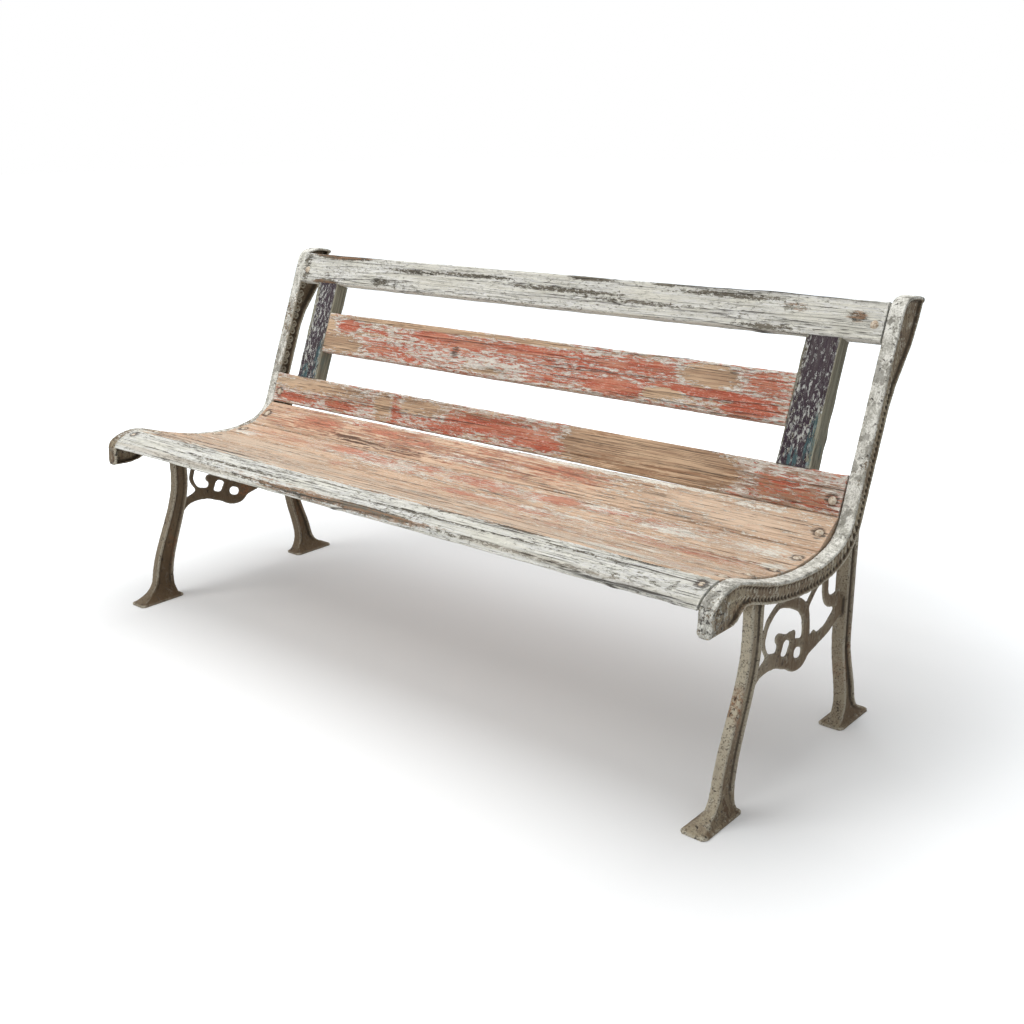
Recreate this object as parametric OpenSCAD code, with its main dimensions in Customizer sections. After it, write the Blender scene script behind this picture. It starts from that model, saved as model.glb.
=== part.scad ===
// Park bench: two cast iron end frames carry bolted wooden slats and back rails.
// X runs along the bench, +Y points to the back and +Z up. The origin lies on
// the floor under the middle of the bench. Sizes are in millimetres.

/* [Overall] */
// Length across the outer faces of the two end frames
bench_len = 1650; // [1200:10:2200]
// Gap between a slat's end and the raised rim of the casting
end_gap = 1.5; // [0.5:0.5:4]
// Height of the lower end of the nose above the floor
nose_z = 359; // [330:1:400]
// Reach of the nose in front of the front foot
nose_reach = 13; // [0:1:40]

/* [Seat and back curve] */
// Length of the rim's lower end up the front of the nose
nose_rise = 34.2; // [20:0.1:50]
// Forward lean of the rim's lower end
nose_lean = 12; // [4:1:20]
// Radius of the rim round the nose
nose_r = 29; // [20:1:45]
// Radius of the rim over the front crown
crown_r = 110; // [80:1:150]
// Slope of the seat just behind the crown
seat_fall = 18.5; // [14:0.5:21]
// Radius of the seat hollow
hollow_r = 590; // [450:10:680]
// Radius where the seat starts to rise to the back
rise_r = 290; // [200:10:380]
// Slope of the seat where the tight bend to the back starts
rise_angle = 16.5; // [12:0.5:22]
// Radius of the tight bend between seat and back
bend_r = 76; // [65:1:100]
// Slope of the back above the horizontal
back_angle = 68.3; // [64:0.1:74]
// Straight length of the back up to the head of the post
back_run = 372; // [365:1:440]
// Radius of the rim at the front of the post head
head_r = 40; // [30:1:55]
// Radius of the rim over the top of the post head
head_top_r = 120; // [90:5:160]

/* [Casting] */
// Width of the raised rim, along the bench
rim_w = 29; // [24:1:36]
// Thickness of the rim
rim_t = 7; // [5:0.5:10]
// Thickness of the web between rim and back flange
web_t = 9; // [6:0.5:12]
// Depth of the web's outer face behind the edge of the rim
web_recess = 6; // [3:0.5:8]
// Thickness of the ledge under the slats and of the rail lugs
ledge_t = 9; // [6:0.5:12]
// Thickness of the edge along the lower and back side of the web
flange_t = 5; // [3:0.5:8]
// Rounding of the lower corners of the nose
lip_r = 10; // [4:1:13]
// Reach of the ledge past the ends of the slats
ledge_reach = 45; // [38:1:60]
// Depth of the post head from its front to its back edge
head_depth = 75; // [60:1:85]
// Length over which the post widens into its head
head_flare = 165; // [120:5:200]
// Distance of a rail lug's edges from the edges of its rail
lug_margin = 10; // [5:1:16]
// Radius of the round boss on the side of the nose
nose_boss_r = 15; // [10:1:18]
// Radius of the round boss on the side of the post head
head_boss_r = 17; // [10:1:20]
// Height of the cast ornament above the web
ornament_h = 4; // [2:0.5:5]
// Length of a leaf in the border on the web
leaf_len = 24; // [16:1:26]
// Width of a leaf in the border
leaf_w = 7.5; // [5:0.5:9]
// Distance from one leaf to the next
leaf_pitch = 11; // [10:0.5:20]
// Length of the band without leaves next to the nose and the head
leaf_margin = 42; // [30:1:60]
// Slant of the leaves against the rim
leaf_slant = 62; // [50:1:80]

/* [Legs] */
// Width of a front leg, along the bench
front_leg_w = 21; // [18:0.5:28]
// Width of a rear leg, along the bench
rear_leg_w = 26; // [20:0.5:28]
// Thickness of the web between a leg's front and rear flanges
leg_web = 11; // [8:0.5:15]
// Thickness of a leg's front and rear flanges
leg_flange = 8; // [6:0.5:10]
// Distance from the outer face of the frame to the middle of the legs
leg_inset = 26; // [24:0.5:30]
// Depth of the front leg under the seat
front_leg_d = 39; // [32:1:46]
// Depth of the front leg above its foot
front_ankle_d = 50; // [42:1:58]
// Distance behind the front foot's toe line to the middle of the front leg's top
front_leg_y = 156; // [140:1:170]
// Distance behind the toe line to the middle of the front ankle
front_ankle_y = 80; // [74:1:86]
// Depth of the rear leg under the seat
rear_leg_d = 32; // [28:1:40]
// Depth of the rear leg above its foot
rear_ankle_d = 42; // [36:1:50]
// Distance behind the foot of the back to the middle of the rear leg's top
rear_leg_back = 39.2; // [34:0.1:46]
// Distance behind the rear leg's top to the middle of the rear ankle
rear_splay = 32; // [24:1:42]
// Height of the rear leg's top above the foot of the back
rear_leg_rise = 25; // [15:1:40]
// Height above the floor at which the front leg starts to lean
front_knee_z = 300; // [270:5:320]
// Height above the floor at which the rear leg starts to lean
rear_knee_z = 190; // [160:5:220]
// Height above the floor of the ankles
ankle_z = 35; // [28:1:44]
// Length of the front foot plate
front_foot_len = 121; // [112:1:135]
// Length of the rear foot plate
rear_foot_len = 118; // [105:1:130]
// Reach of the front foot plate in front of the toe line
front_toe = 3; // [0:1:8]
// Reach of the rear foot plate in front of the rear leg's top
rear_toe = 14; // [10:1:18]
// Width of a foot plate
foot_w = 52; // [46:1:60]
// Distance of a foot plate's outer edge from the outer face of the frame
foot_inset = 5; // [2:1:9]
// Thickness of a foot plate
foot_t = 6; // [4:0.5:10]
// Corner radius of a foot plate
foot_corner_r = 9; // [5:1:14]
// Height of the flare from ankle to foot plate
flare_h = 62; // [45:1:80]
// Step between the flare and the edge of the foot plate
foot_step = 5; // [3:0.5:8]
// Width of the step round the upper edge of the foot plate
foot_edge = 2; // [1:0.5:3]

/* [Scrollwork] */
// Thickness of the scrollwork between the legs
scroll_t = 6; // [5:0.5:10]
// Distance of the scrollwork's middle outside the middle of the legs
scroll_out = 2; // [0:0.5:4]
// Radius of the round lobes that end the scrolls
lobe_r = 11; // [8:0.5:12]
// Radius of the rounded ends of the eye under the second lobe
eye_r = 8.5; // [5:0.5:10]

/* [Wood] */
// Thickness of the seat slats
slat_t = 28; // [24:1:34]
// Thickness of the back rails
rail_t = 25; // [22:1:28]
// Number of flat seat slats behind the front slat
seat_slats = 5; // [5]
// Width of a flat seat slat
slat_w = 82.5; // [76:0.5:95]
// Gap between neighbouring seat slats
slat_gap = 3; // [2:0.1:6]
// Path length of the rim in front of the front slat
front_slat_start = 42.2; // [37:0.1:48]
// Width of the front slat, along the rim
front_slat_w = 73.9; // [68:0.1:90]
// Lean of the front slat's front face
front_slat_lean = 10; // [6:1:14]
// Distance of the ledge's front end behind the front slat's lower edge
ledge_setback = 4; // [2:1:8]
// Rounding of the long edges of the boards
edge_r = 3; // [1:0.5:5]
// Width of the lower back rail
lower_rail_w = 73; // [62:1:80]
// Width of the middle back rail
middle_rail_w = 99; // [80:1:110]
// Width of the top back rail
top_rail_w = 73; // [60:1:80]
// Gap between the last seat slat and the lower back rail
back_gap = 7; // [4:0.5:10]
// Open height of the back below the middle rail
lower_opening = 72.5; // [60:0.5:85]
// Open height of the back above the middle rail
upper_opening = 74; // [60:1:76]
// Width of the upright battens of the back
batten_w = 70; // [55:1:85]
// Thickness of the upright battens
batten_t = 34; // [30:1:40]
// Distance from the middle of a batten to the ends of the slats
batten_inset = 109; // [95:1:160]

/* [Fasteners] */
// Diameter of the bolts
bolt_d = 8; // [6:0.5:10]
// Diameter of the round bolt heads
bolt_head_d = 17; // [14:0.5:22]
// Height of the round bolt heads
bolt_head_h = 3.5; // [2.5:0.25:5]
// Depth of the square neck under a bolt head
neck_h = 5; // [3:0.5:8]
// Distance from a bolt to the end of its board
bolt_inset = 18; // [14:0.5:24]
// Distance from the front slat's bolts to its front edge
front_bolt_back = 54; // [40:1:60]
// Distance from the lower rail's bolts to its lower edge
lower_bolt_up = 24; // [20:0.5:40]
// Distance from the top rail's bolts to its lower edge
top_bolt_up = 30; // [20:0.5:45]
// Diameter of the washers
washer_d = 19; // [16:0.5:24]
// Thickness of the washers
washer_t = 1.6; // [1:0.1:3]
// Width of the nuts across their flats
nut_af = 13; // [11:0.5:16]
// Thickness of the nuts
nut_t = 6.5; // [5:0.5:9]
// Length of bolt that stands past its nut
bolt_spare = 4; // [2:0.5:8]
// Diameter of the wooden dowels in the back
dowel_d = 10; // [8:0.5:12]
// Length of the dowels
dowel_len = 50; // [40:1:60]
// Distance between the two dowels of a joint
dowel_pitch = 36; // [26:1:42]
// Clearance of bolts and dowels in their holes, on the diameter
fit = 0.6; // [0.3:0.1:1]

/* [Hidden] */
$fn = 48;

iron = "#6b6654";
old_white = "#cfcfc4";
weathered_wood = "#c79f7c";
red_wood = "#b9674a";
dark_paint = "#46424f";
steel = "#b8b6a8";
oak = "#a98a62";

// The rim is one smooth curve in the Y-Z plane. Each piece of it is [radius, turn]
// for an arc, where a left turn is positive, or [length, 0] for a straight.
nose_out = 28;
head_level = 8;
head_end = -20;
deg = 180 / PI;
front_slat_end = front_slat_start + front_slat_w;
// The straight run behind the crown makes the seat as long as its boards.
seat_len = front_slat_end + seat_slats * (slat_w + slat_gap) + back_gap;
seat_run = seat_len - nose_rise - (nose_r * (90 - nose_out) + crown_r * (seat_fall + nose_out)
    + hollow_r * seat_fall + rise_r * rise_angle + bend_r * (back_angle - rise_angle)) / deg;
lip_turn_r = nose_rise * deg / nose_lean;
CURVE = [
    [lip_turn_r, nose_lean],
    [nose_r, nose_out - 90],
    [crown_r, -seat_fall - nose_out],
    [seat_run, 0],
    [hollow_r, seat_fall],
    [rise_r, rise_angle],
    [bend_r, back_angle - rise_angle],
    [back_run, 0],
    [head_r, head_level - back_angle],
    [head_top_r, head_end - head_level]
];
function piece_len(p) = p[1] == 0 ? p[0] : p[0] * abs(p[1]) / deg;

// A state is [y, z, heading]; advance moves it the length l along curve piece p.
function advance(st, p, l) =
    p[1] == 0
    ? [st[0] + l * cos(st[2]), st[1] + l * sin(st[2]), st[2]]
    : let (k = sign(p[1]) / p[0], h = st[2] + l * k * deg)
      [st[0] + (sin(h) - sin(st[2])) / k, st[1] - (cos(h) - cos(st[2])) / k, h];
function state_after(n) =
    n == 0 ? [-nose_reach - lip_turn_r * (1 - cos(nose_lean)), nose_z, 90 - nose_lean]
    : advance(state_after(n - 1), CURVE[n - 1], piece_len(CURVE[n - 1]));
function length_before(n) = n == 0 ? 0 : length_before(n - 1) + piece_len(CURVE[n - 1]);
STARTS = [for (i = [0:len(CURVE)]) length_before(i)];
STATES = [for (i = [0:len(CURVE)]) state_after(i)];
curve_len = STARTS[len(CURVE)];

// at gives the state at path length s, and off a point at depth d under the rim's face.
function at(s) =
    let (i = max([for (j = [0:len(CURVE) - 1]) if (STARTS[j] <= max(s, 0)) j]))
    advance(STATES[i], CURVE[i], s - STARTS[i]);
function off(s, d) = let (p = at(s)) [p[0] + d * sin(p[2]), p[1] - d * cos(p[2])];

// Path lengths at which the outline of the curve gets a point.
arc_step = 6;
long_arc_step = 3;
long_arc_r = 200;
function steps(p) =
    p[1] == 0 ? 1 : ceil(abs(p[1]) / (p[0] > long_arc_r ? long_arc_step : arc_step));
STATIONS = [for (i = [0:len(CURVE) - 1]) let (n = steps(CURVE[i])) for (j = [0:n - 1])
    STARTS[i] + piece_len(CURVE[i]) * j / n];
function stations(a, b) =
    concat([a], [for (s = STATIONS) if (s > a + 1 && s < b - 1) s], [b]);
function flip(list) = [for (i = [len(list) - 1:-1:0]) list[i]];
function strip(a, b, d0, d1) =
    concat([for (s = stations(a, b)) off(s, d0)], flip([for (s = stations(a, b)) off(s, d1)]));

// A smooth line through a few points of any dimension, by Catmull and Rom's rule.
function blend(a, b, c, d, t) =
    0.5 * (2 * b + (c - a) * t + (2 * a - 5 * b + 4 * c - d) * t * t
    + (3 * b - a - 3 * c + d) * t * t * t);
function smooth(p, n) = let (m = len(p) - 1) concat([for (i = [0:m - 1]) for (j = [0:n - 1])
    blend(p[max(i - 1, 0)], p[i], p[i + 1], p[min(i + 2, m)], j / n)], [p[m]]);
function yz(p) = [p[0], p[1]];
function side(pts, i) = let (m = len(pts) - 1,
    d = yz(pts[min(i + 1, m)]) - yz(pts[max(i - 1, 0)])) [-d[1], d[0]] / norm(d);
function shifted(pts, t) = [for (i = [0:len(pts) - 1]) yz(pts[i]) + t * side(pts, i)];
// A band along points [y, z, half width].
function ribbon(pts) = concat(
    [for (i = [0:len(pts) - 1]) yz(pts[i]) + pts[i][2] * side(pts, i)],
    flip([for (i = [0:len(pts) - 1]) yz(pts[i]) - pts[i][2] * side(pts, i)]));

// Positions along the path
band_d = slat_t + ledge_t;
function seat_s(i) = front_slat_end + slat_gap + slat_w / 2 + (i - 1) * (slat_w + slat_gap);
lower_rail_s = STARTS[7] - 1;
middle_rail_s = lower_rail_s + lower_rail_w + lower_opening;
top_rail_s = middle_rail_s + middle_rail_w + upper_opening;
batten_s = lower_rail_s + lower_rail_w;
batten_len = lower_opening + middle_rail_w + upper_opening;

// The front slat has a level underside; its back face runs parallel to the next slat.
front_end = at(front_slat_end);
front_under_z = front_end[1] - slat_t;
front_under_y = front_end[0] + slat_t * tan(seat_chord(1)[2]);
front_bolt_s = front_slat_start + front_bolt_back;
front_bolt_at = at(front_bolt_s);
// The front bolts' heads sit level in a round recess of the crowned slat.
head_recess = 0.1 + bolt_head_d / 2 * tan(abs(front_bolt_at[2]));
front_head_z = front_bolt_at[1] - head_recess;
front_grip = front_head_z - front_under_z + ledge_t;

// Positions along the bench, for the right-hand end
outer_x = bench_len / 2;
rim_x = outer_x - rim_w;
web_x = outer_x - web_recess - web_t;
slat_end_x = rim_x - end_gap;
ledge_x = slat_end_x - ledge_reach;
leg_x = outer_x - leg_inset;
bolt_x = slat_end_x - bolt_inset;
batten_x = slat_end_x - batten_inset;
slat_len = 2 * slat_end_x;

// The rim ends in a small roll, the rearmost point; the bench is centred over its depth.
roll_r = 0.7 * rim_t;
roll_at = off(curve_len, roll_r);
depth_mid = (roll_at[0] + roll_r + STATES[0][0]) / 2;

// A flat board lies on the chord between two points of the curve: [y, z, slope].
function chord(s, w) =
    let (a = off(s - w / 2, 0), b = off(s + w / 2, 0), c = (a + b) / 2)
    [c[0], c[1], atan2(b[1] - a[1], b[0] - a[0])];
function seat_chord(i) = chord(seat_s(i), slat_w);

module extrude_x(x0, x1) {
    translate([x0, 0, 0]) rotate([90, 0, 90]) linear_extrude(height = x1 - x0) children();
}
// Places children on the rim's face: local Y along the curve, local Z out of the face.
module on_curve(s) {
    placed(at(s)) children();
}
module placed(p) {
    translate([0, p[0], p[1]]) rotate([p[2], 0, 0]) children();
}
module both_ends() {
    children();
    mirror([1, 0, 0]) children();
}
module centred() {
    translate([0, -depth_mid, 0]) children();
}

// Lower and back edge of the casting: nose, band under the seat, post and head
nose_join_s = STARTS[3] + 0.6 * seat_run;
head_s = STARTS[8];
flare_s = head_s - head_flare;
function ease(t) = t * t * (3 - 2 * t);
function edge_depth(s) =
    s < flare_s ? band_d
    : band_d + (head_depth - band_d) * ease(min(1, (s - flare_s) / (head_s - flare_s)));
NOSE_EDGE = smooth([
    off(0, rim_t),
    off(0, rim_t + 0.9 * nose_r) + [0, 0.14 * nose_r],
    off(0, rim_t + 2 * nose_r) + [0, 0.45 * nose_r],
    off(nose_join_s, band_d) - [0.9 * nose_r, -1],
    off(nose_join_s, band_d)
], 4);
POST_EDGE = [for (k = [0:4]) let (s = flare_s + (head_s - flare_s) * k / 4)
    off(s, edge_depth(s))];
LOW_EDGE = concat(
    NOSE_EDGE,
    [for (s = STATIONS) if (s > nose_join_s + 5 && s < flare_s - 5) off(s, band_d)],
    POST_EDGE,
    [off(curve_len, rim_t)]);

// Web, rim and back flange make a channel that is open on both sides of the web.
module band() {
    skin = 0.3 * rim_t;
    difference() {
        union() {
            extrude_x(web_x, web_x + web_t) polygon(concat(
                [for (s = stations(0, curve_len)) off(s, skin)], flip(shifted(LOW_EDGE, skin))));
            extrude_x(rim_x, outer_x) polygon(strip(0, curve_len, 0, rim_t));
            extrude_x(rim_x, outer_x)
                polygon(concat(LOW_EDGE, flip(shifted(LOW_EDGE, flange_t))));
        }
        lip_corner(rim_x, 1);
        lip_corner(outer_x, -1);
    }
    head_roll();
}
// What rounds a lower corner of the nose away, as seen from the front
module lip_corner(x, e) {
    translate([x, STATES[0][0] + 3 * nose_r, nose_z]) rotate([90, 0, 0])
        linear_extrude(height = 4 * nose_r) difference() {
            square(2 * lip_r, center = true);
            translate([e * lip_r, lip_r]) circle(r = lip_r);
        }
}
module head_roll() {
    translate([rim_x, roll_at[0], roll_at[1]]) rotate([0, 90, 0])
        cylinder(r = roll_r, h = rim_w);
}

// Flat rests for the boards: a bent ledge under the seat and a lug behind each rail
function board_point(i, w, d) =
    let (p = seat_chord(i))
    [p[0] + w * cos(p[2]) + d * sin(p[2]), p[1] + w * sin(p[2]) - d * cos(p[2])];
front_slat_y = off(front_slat_start, 0)[0];
ledge_y = front_slat_y + front_slat_lean + ledge_setback;
LEDGE_TOP = concat(
    [[ledge_y, front_under_z], [front_under_y, front_under_z]],
    [for (i = [1:seat_slats]) for (e = [-1, 1]) board_point(i, e * slat_w / 2, slat_t)]);
under_inset = 0.9 * ledge_t;
LEDGE_UNDER = concat(
    [[ledge_y, front_under_z - ledge_t],
    [front_under_y - under_inset, front_under_z - ledge_t]],
    [for (i = [1:seat_slats]) for (e = [-1, 1])
        board_point(i, e * (slat_w / 2 - under_inset), band_d)]);
module ledge() {
    extrude_x(ledge_x, web_x + 1) polygon(concat(LEDGE_TOP, flip(LEDGE_UNDER)));
}
// The space of the seat boards, which legs and scrollwork stay out of
sky = 2 * nose_z;
SEAT_SPACE = concat(LEDGE_TOP, [[LEDGE_TOP[2 * seat_slats + 1][0], sky],
    [LEDGE_TOP[0][0], sky]]);
module seat_space() {
    polygon(SEAT_SPACE);
    polygon(strip(0, curve_len, -2 * slat_t, 1.07 * slat_t));
}
module rail_lug(s, w) {
    on_curve(s + w / 2) translate([ledge_x, lug_margin - w / 2, -rail_t - ledge_t])
        cube([web_x + 1 - ledge_x, w - 2 * lug_margin, ledge_t]);
}

// Legs: an eased centre line between top and ankle, with a flare into the foot plate. A
// front and a rear flange stand out on both sides of a thinner web.
function flare(z) = z > flare_h ? 0 : pow(1 - (z - foot_t) / (flare_h - foot_t), 3);
function leg_mid(z, top, foot, hi, lo) =
    top + (foot - top) * ease(max(0, min(1, (hi - z) / (hi - lo))));
flare_shares = [0, 0.05, 0.14, 0.27, 0.43, 0.64, 0.89];
leg_levels = [for (k = flare_shares) foot_t + k * (flare_h - foot_t)];
leg_start = 1.16 * flare_h;
function leg_heights(hi) =
    concat(leg_levels, [for (k = [0:12]) leg_start + (hi - leg_start) * k / 12]);
function leg_side(top, foot, d_top, d_foot, hi, lo, end, reach, e) =
    concat([for (z = leg_heights(hi)) [leg_mid(z, top, foot, hi, lo)
        + e * (leg_mid(z, d_top, d_foot, hi, lo) / 2 + reach * flare(z)), z]],
        [[top + e * d_top / 2, end]]);
// Outline of the leg seen from the front, whose width w grows towards the foot plate to a
// share of the plate's own.
foot_x = outer_x - foot_inset - foot_w;
flare_levels = concat(leg_levels, [flare_h]);
module leg_front(w, end, share) {
    in = share * (leg_x - w / 2 - foot_x - foot_step);
    out = share * (foot_x + foot_w - foot_step - leg_x - w / 2);
    polygon(concat(
        [for (z = flare_levels) [w / 2 + out * flare(z), z]],
        [[w / 2, end], [-w / 2, end]],
        flip([for (z = flare_levels) [-w / 2 - in * flare(z), z]])));
}
// Outline of the leg seen from the side, drawn in by inset all the way down
module leg_outline(top, foot, d_top, d_foot, hi, lo, end, y0, len, inset) {
    toe_inset = foot_step + 0.6 * inset;
    d0 = d_top - 2 * inset;
    d1 = d_foot - 2 * inset;
    polygon(concat(
        leg_side(top, foot, d0, d1, hi, lo, end, foot - d1 / 2 - y0 - toe_inset, -1),
        flip(leg_side(top, foot, d0, d1, hi, lo, end,
            y0 + len - toe_inset - foot - d1 / 2, 1))));
}
module leg_part(y0, len, w, end, share) {
    intersection() {
        extrude_x(leg_x - foot_w, leg_x + foot_w) difference() {
            children();
            seat_space();
        }
        translate([leg_x, y0 + 2 * len, 0]) rotate([90, 0, 0])
            linear_extrude(height = 4 * len) leg_front(w, end + 1, share);
    }
}
flange_share = 0.25;
module leg(w, top, foot, d_top, d_foot, hi, lo, end, y0, len) {
    leg_part(y0, len, leg_web, end, 1)
        leg_outline(top, foot, d_top, d_foot, hi, lo, end, y0, len, leg_flange / 2);
    leg_part(y0, len, w, end, flange_share) difference() {
        leg_outline(top, foot, d_top, d_foot, hi, lo, end, y0, len, 0);
        leg_outline(top, foot, d_top, d_foot, hi, lo, end, y0, len, leg_flange);
    }
}
module foot_slab(y0, len, inset, h) {
    c = foot_corner_r - inset;
    w = foot_w - 2 * inset;
    l = len - 2 * inset;
    translate([foot_x + inset + c, y0 + inset + c, 0]) linear_extrude(height = h) union() {
        translate([0, -c]) square([w - 2 * c, l]);
        translate([-c, 0]) square([w, l - 2 * c]);
        for (i = [0, 1], j = [0, 1])
            translate([i * (w - 2 * c), j * (l - 2 * c)]) circle(r = c);
    }
}
module foot_plate(y0, len) {
    foot_slab(y0, len, 0, 0.6 * foot_t);
    foot_slab(y0, len, foot_edge, foot_t);
}
rear_leg_y = STATES[7][0] + rear_leg_back;
rear_ankle_y = rear_leg_y + rear_splay;
rear_foot_y = rear_leg_y - rear_toe;
rear_leg_top = STATES[7][1] + rear_leg_rise;
module legs() {
    leg(front_leg_w, front_leg_y, front_ankle_y, front_leg_d, front_ankle_d, front_knee_z,
        ankle_z, front_under_z, -front_toe, front_foot_len);
    foot_plate(-front_toe, front_foot_len);
    leg(rear_leg_w, rear_leg_y, rear_ankle_y, rear_leg_d, rear_ankle_d, rear_knee_z,
        ankle_z, rear_leg_top, rear_foot_y, rear_foot_len);
    foot_plate(rear_foot_y, rear_foot_len);
}

// Scrollwork: ribbons whose points lie in a field between the legs and under the band.
// Field points are [distance behind the front leg, drop under the band, half width].
field_y = front_leg_y + front_leg_d / 2;
field_len = rear_leg_y - rear_leg_d / 2 - field_y;
field_z = off(STARTS[5], band_d)[1];
field_w = 305;
function fld(p) = let (k = field_len / field_w) [field_y + k * p[0], field_z - k * p[1], k * p[2]];
function flds(list) = [for (p = list) fld(p)];
ARCH = flds([[-40, 149, 9], [-15, 124, 11], [7, 113, 12], [44, 107, 17], [69, 116, 13],
    [86, 123, 13], [101, 127, 15], [120, 130, 23], [142, 132, 27], [156, 131, 26],
    [174, 123, 21], [200, 121, 17], [224, 118, 14], [248, 113, 14], [267, 103, 16],
    [312, 80, 18]]);
LOOP = flds([[74, 78, 11], [73, 92, 12], [60, 103, 10], [37, 96, 8], [24, 84, 6], [15, 64, 8],
    [21, 41, 8], [33, 26, 9], [58, 12, 8], [76, 12, 8], [102, 17, 11], [125, 25, 13],
    [146, 37, 14], [161, 55, 15], [166, 76, 15], [168, 95, 15], [167, 116, 15]]);
CREST = flds([[67, 71, 11], [80, 75, 9.5], [94, 79, 8.5], [107, 80, 10], [118, 81, 9]]);
SECOND_STEM = flds([[112, 118, 13], [114, 108, 13], [118, 97, 10], [119, 84, 9]]);
SHOULDER = flds([[114, 97, 9], [134, 103, 11], [154, 109, 11]]);
STRUT = flds([[165, 45, 9], [181, 29, 8], [197, 17, 8], [211, 7, 9], [220, -6, 10]]);
HOOK = flds([[229, -6, 13], [233, 19, 12.5], [235, 38, 12.5], [241, 52, 12.5], [255, 61, 13],
    [272, 63, 15], [294, 60, 14]]);
SLOT = flds([[88, 108, 9.5], [94, 97, 9.5], [100, 87, 8]]);
EYE = flds([[135, 120, eye_r], [144, 124, eye_r]]);
FIRST_LOBE = [65, 71];
SECOND_LOBE = [121, 81];
LEAF_END = [197, 108];
module lobe(p, r) {
    c = fld([p[0], p[1], 0]);
    translate([c[0], c[1]]) circle(r = r);
}
module scrollwork() {
    x0 = leg_x + scroll_out - scroll_t / 2;
    extrude_x(x0, x0 + scroll_t) difference() {
        union() {
            polygon(ribbon(smooth(ARCH, 3)));
            polygon(ribbon(smooth(LOOP, 3)));
            polygon(ribbon(smooth(CREST, 2)));
            polygon(ribbon(smooth(SECOND_STEM, 2)));
            polygon(ribbon(smooth(SHOULDER, 2)));
            polygon(ribbon(smooth(STRUT, 2)));
            polygon(ribbon(smooth(HOOK, 3)));
            lobe(FIRST_LOBE, lobe_r);
            lobe(SECOND_LOBE, 0.86 * lobe_r);
            lobe(LEAF_END, lobe_r);
        }
        polygon(ribbon(smooth(SLOT, 2)));
        polygon(ribbon(EYE));
        for (p = EYE) translate(yz(p)) circle(r = eye_r);
        seat_space();
    }
}

// Cast ornament on the outer side: a border of slanted leaves, and round bosses on
// nose and head
leaves_from = STARTS[2] + leaf_margin;
leaves_to = head_s - leaf_margin;
leaf_n = floor((leaves_to - leaves_from) / leaf_pitch);
LEAF = [for (k = [0:5]) [leaf_len / 2 * cos(60 * k), leaf_w / 2 * sin(60 * k)]];
module leaves() {
    extrude_x(web_x + web_t - 1, web_x + web_t + ornament_h - 1)
        for (i = [0:leaf_n]) let (s = leaves_from + i * leaf_pitch)
            translate(off(s, (rim_t + band_d - flange_t) / 2)) rotate(at(s)[2] + leaf_slant)
                polygon(LEAF);
}
module boss(p, r) {
    translate([web_x, p[0], p[1]]) rotate([0, 90, 0]) {
        cylinder(r = r, h = web_t + ornament_h / 2);
        cylinder(r = r / 2, h = web_t + ornament_h);
    }
}
module bosses() {
    nose_mid = STATES[1] + nose_r * [1.28, -0.07, 0];
    boss(yz(nose_mid), nose_boss_r);
    boss(off(head_s, 0.58 * head_depth), head_boss_r);
}

module bolt_hole() {
    translate([0, 0, -3 * band_d]) cylinder(d = bolt_d + fit, h = 4 * band_d);
}
// Calls its children once at every bolt of the seat, at the right-hand end.
module at_seat_bolts() {
    translate([bolt_x, front_bolt_at[0], front_under_z + slat_t]) children();
    for (i = [1:seat_slats]) translate([bolt_x, 0, 0]) placed(seat_chord(i)) children();
}
module at_back_bolts() {
    translate([bolt_x, 0, 0]) on_curve(lower_rail_s + lower_bolt_up) children();
    translate([bolt_x, 0, 0]) on_curve(top_rail_s + top_bolt_up) children();
}

module end_frame() {
    difference() {
        union() {
            band();
            ledge();
            rail_lug(lower_rail_s, lower_rail_w);
            rail_lug(top_rail_s, top_rail_w);
            legs();
            scrollwork();
            leaves();
            bosses();
        }
        at_seat_bolts() bolt_hole();
        at_back_bolts() bolt_hole();
    }
}
module end_frame_right() {
    color(iron) centred() end_frame();
}
module end_frame_left() {
    color(iron) centred() mirror([1, 0, 0]) end_frame();
}

// A board with rounded long edges on its front, seen end on
module board_section(w, t) {
    r = edge_r;
    translate([-w / 2, -t]) union() {
        square([w, t - r]);
        translate([r, 0]) square([w - 2 * r, t]);
        translate([r, t - r]) circle(r = r);
        translate([w - r, t - r]) circle(r = r);
    }
}
// The square neck of a bolt sits in a pocket of the board.
module bolt_pocket() {
    side = bolt_d + fit;
    translate([-side / 2, -side / 2, -neck_h]) cube([side, side, neck_h + slat_t]);
    bolt_hole();
}
module seat_slat(i) {
    p = seat_chord(i);
    color(weathered_wood) centred() difference() {
        placed(p) extrude_x(-slat_end_x, slat_end_x) board_section(slat_w, slat_t);
        both_ends() translate([bolt_x, 0, 0]) placed(p) bolt_pocket();
    }
}
module seat_slat_1() { seat_slat(1); }
module seat_slat_2() { seat_slat(2); }
module seat_slat_3() { seat_slat(3); }
module seat_slat_4() { seat_slat(4); }
module seat_slat_5() { seat_slat(5); }

// The front slat follows the rim over the crown and has a rounded nose.
module front_slat() {
    color(old_white) centred() difference() {
        extrude_x(-slat_end_x, slat_end_x) polygon(concat(
            [for (s = stations(front_slat_start, front_slat_end)) off(s, 0)],
            [[front_under_y, front_under_z], [front_slat_y + front_slat_lean, front_under_z],
            [front_slat_y + edge_r, front_under_z + 0.7 * edge_r]]));
        both_ends() front_bolt_place() {
            bolt_pocket();
            cylinder(d = bolt_head_d + 2 * fit, h = slat_t);
        }
    }
}

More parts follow.
